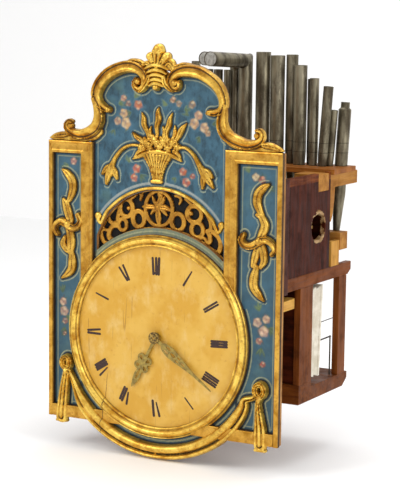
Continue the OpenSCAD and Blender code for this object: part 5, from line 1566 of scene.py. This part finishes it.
class CLOCK_OT_mitred_pipes(Dress, bpy.types.Operator):
    """The two tall pipes that turn forward over a mitre"""

    bl_idname = "clock.mitred_pipes"
    bl_label = "Mitred Pipes"

    def execute(self, context):
        for name, foot, elbow, near, r in MITRED:
            self.bent_pipe(name, Vector(foot), Vector(elbow), Vector(near), r)
        return {"FINISHED"}

    def leg(self, start, end, level, elbow, cut, r):
        """One straight cylinder that runs past the elbow and is cut there."""
        obj = primitive("leg", bpy.ops.mesh.primitive_cylinder_add,
                        vertices=40, radius=r * MM, depth=MM, end_fill_type="NGON")
        along = (end - start).normalized()
        turn = np.array([level, along.cross(level), along])
        co = vertices(obj) / MM
        co[:, 2] = (co[:, 2] + 0.5) * ((end - start).length + 2 * r)
        set_vertices(obj, (co @ turn + np.array(start)) * MM)
        edit((bpy.ops.mesh.bisect, {"plane_co": elbow * MM, "plane_no": cut, "clear_outer": True}), EVERYTHING,
             (bpy.ops.mesh.bisect, {"plane_co": (0, 0, FOOT_TOP), "plane_no": (0, 0, 1)}))
        return obj

    def bent_pipe(self, name, foot, elbow, near, r):
        upright = Vector((0, 0, 1))
        axis = (near - elbow).normalized()
        level = upright.cross(axis).normalized()
        stand = self.leg(foot, elbow, level, elbow, upright + axis, r)
        head = self.leg(near, elbow, level, elbow, -upright - axis, r)
        co = vertices(stand)
        toe = co[:, 2] < foot.z * MM + 0.001
        middle = np.array(foot[:2]) * MM
        co[toe, :2] = middle + (co[toe, :2] - middle) * TOE / r
        set_vertices(stand, co)
        activate(stand)
        head.select_set(True)
        bpy.ops.object.join()
        obj = bpy.context.object
        obj.name = obj.data.name = name
        edit((bpy.ops.mesh.remove_doubles, {"threshold": 0.0002}), OUTWARDS)

        # Only the disc at the near end, since the upright leg's front faces look the same way
        choose_faces(obj, [(face.center - near * MM).dot(axis) > -0.001 for face in obj.data.polygons])
        bpy.ops.object.mode_set(mode="EDIT")
        bpy.ops.mesh.inset(thickness=1.3 * MM)
        bpy.ops.transform.translate(value=-axis * 1.6 * MM)
        bpy.ops.mesh.inset(thickness=4 * MM)
        bpy.ops.transform.translate(value=axis * 0.9 * MM)
        bpy.ops.object.mode_set(mode="OBJECT")
        crust = [(face.center - near * MM).dot(axis) > -0.003 and face.normal.dot(axis) > 0.8
                 for face in obj.data.polygons]
        smooth(obj, 35)
        settle(to_frame(obj), "pipe", "case", "organ_metal", "pipes_mitred")
        obj.data.materials.append(finish("pipe_end"))
        for face, crusted in zip(obj.data.polygons, crust):
            face.material_index = int(crusted)


# CAD nodes that are kept, by finish: those whose edges are worn, and the others
WORN = {
    "walnut": ["case_side_left", "corner_stiles"],
    "walnut_split": ["case_side_right"],
    "walnut_deep": ["case_back", "front_board"],
    "oak_x": ["case_floor", "front_sill", "base_board"],
    "oak_y": ["side_beams"],
    "oak_z": ["posts"],
    "rack": ["rack_board"],
    "deal_x": ["wind_chest", "cross_rail"],
    "deal_y": ["rack_brackets"],
    "deal_z": ["chest_posts"],
}
CRISP = {
    "deal_y": ["key_levers"],
    "deal_x": ["organ_barrel"],
    "dial": ["dial_plate"],
    "board": ["facade_panel"],
    "hub": ["hand_nut"],
    "brass": [
        "front_plate", "back_plate", "movement_pillars", "centre_wheel", "cannon_pinion", "hour_wheel",
        "minute_wheel", "great_wheel", "third_wheel", "escape_wheel", "pendulum", "organ_frame",
        "organ_spring_barrel", "fly", "winding_arbor",
    ],
    "steel": ["barrel_arbor", "clock_click", "anchor", "ratchet_click"],
    "wire": ["spring_wires"],
    "pipe": ["pipes_large", "pipes_medium", "pipes_small"],
    "leather": ["bellows_front_board", "bellows_rear_board"],
}


class CLOCK_OT_case(Dress, bpy.types.Operator):
    """Finishes of the case, the organ and the movement"""

    bl_idname = "clock.case"
    bl_label = "Case and Works"

    def execute(self, context):
        worn = context.scene.clock_sizes.worn_edge
        for table, edge in ((WORN, worn), (CRISP, None), ({"lug": ["facade_lugs"]}, 5 * worn)):
            for name, nodes in table.items():
                for node in nodes:
                    dressed(node, name, edge)
        return {"FINISHED"}


class CLOCK_PT_panel(bpy.types.Panel):
    """Lists the operators that dress the clock"""

    bl_idname = "CLOCK_PT_panel"
    bl_label = "Organ Clock"
    bl_space_type = "VIEW_3D"
    bl_region_type = "UI"
    bl_category = "Organ Clock"

    def draw(self, context):
        for operator in OPERATORS:
            self.layout.operator(operator.bl_idname)
        for group in (context.scene.clock_sizes, context.scene.clock_colours):
            for name in group.bl_rna.properties.keys():
                if name not in ("rna_type", "name"):
                    self.layout.prop(group, name)


OPERATORS = [
    CLOCK_OT_stage,
    CLOCK_OT_painted_fields,
    CLOCK_OT_frame_mouldings,
    CLOCK_OT_crest,
    CLOCK_OT_basket,
    CLOCK_OT_fretwork,
    CLOCK_OT_ribbons,
    CLOCK_OT_swag,
    CLOCK_OT_bezel,
    CLOCK_OT_dial,
    CLOCK_OT_bellows,
    CLOCK_OT_mitred_pipes,
    CLOCK_OT_case,
]
CLASSES = [ClockSizes, ClockColours, *OPERATORS, CLOCK_PT_panel]


def register():
    for cls in CLASSES:
        bpy.utils.register_class(cls)
    bpy.types.Scene.clock_sizes = PointerProperty(type=ClockSizes)
    bpy.types.Scene.clock_colours = PointerProperty(type=ClockColours)


def unregister():
    del bpy.types.Scene.clock_colours
    del bpy.types.Scene.clock_sizes
    for cls in reversed(CLASSES):
        bpy.utils.unregister_class(cls)


def main():
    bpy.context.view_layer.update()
    register()
    for operator in OPERATORS:
        group, name = operator.bl_idname.split(".")
        getattr(getattr(bpy.ops, group), name)()


if __name__ == "__main__":
    main()
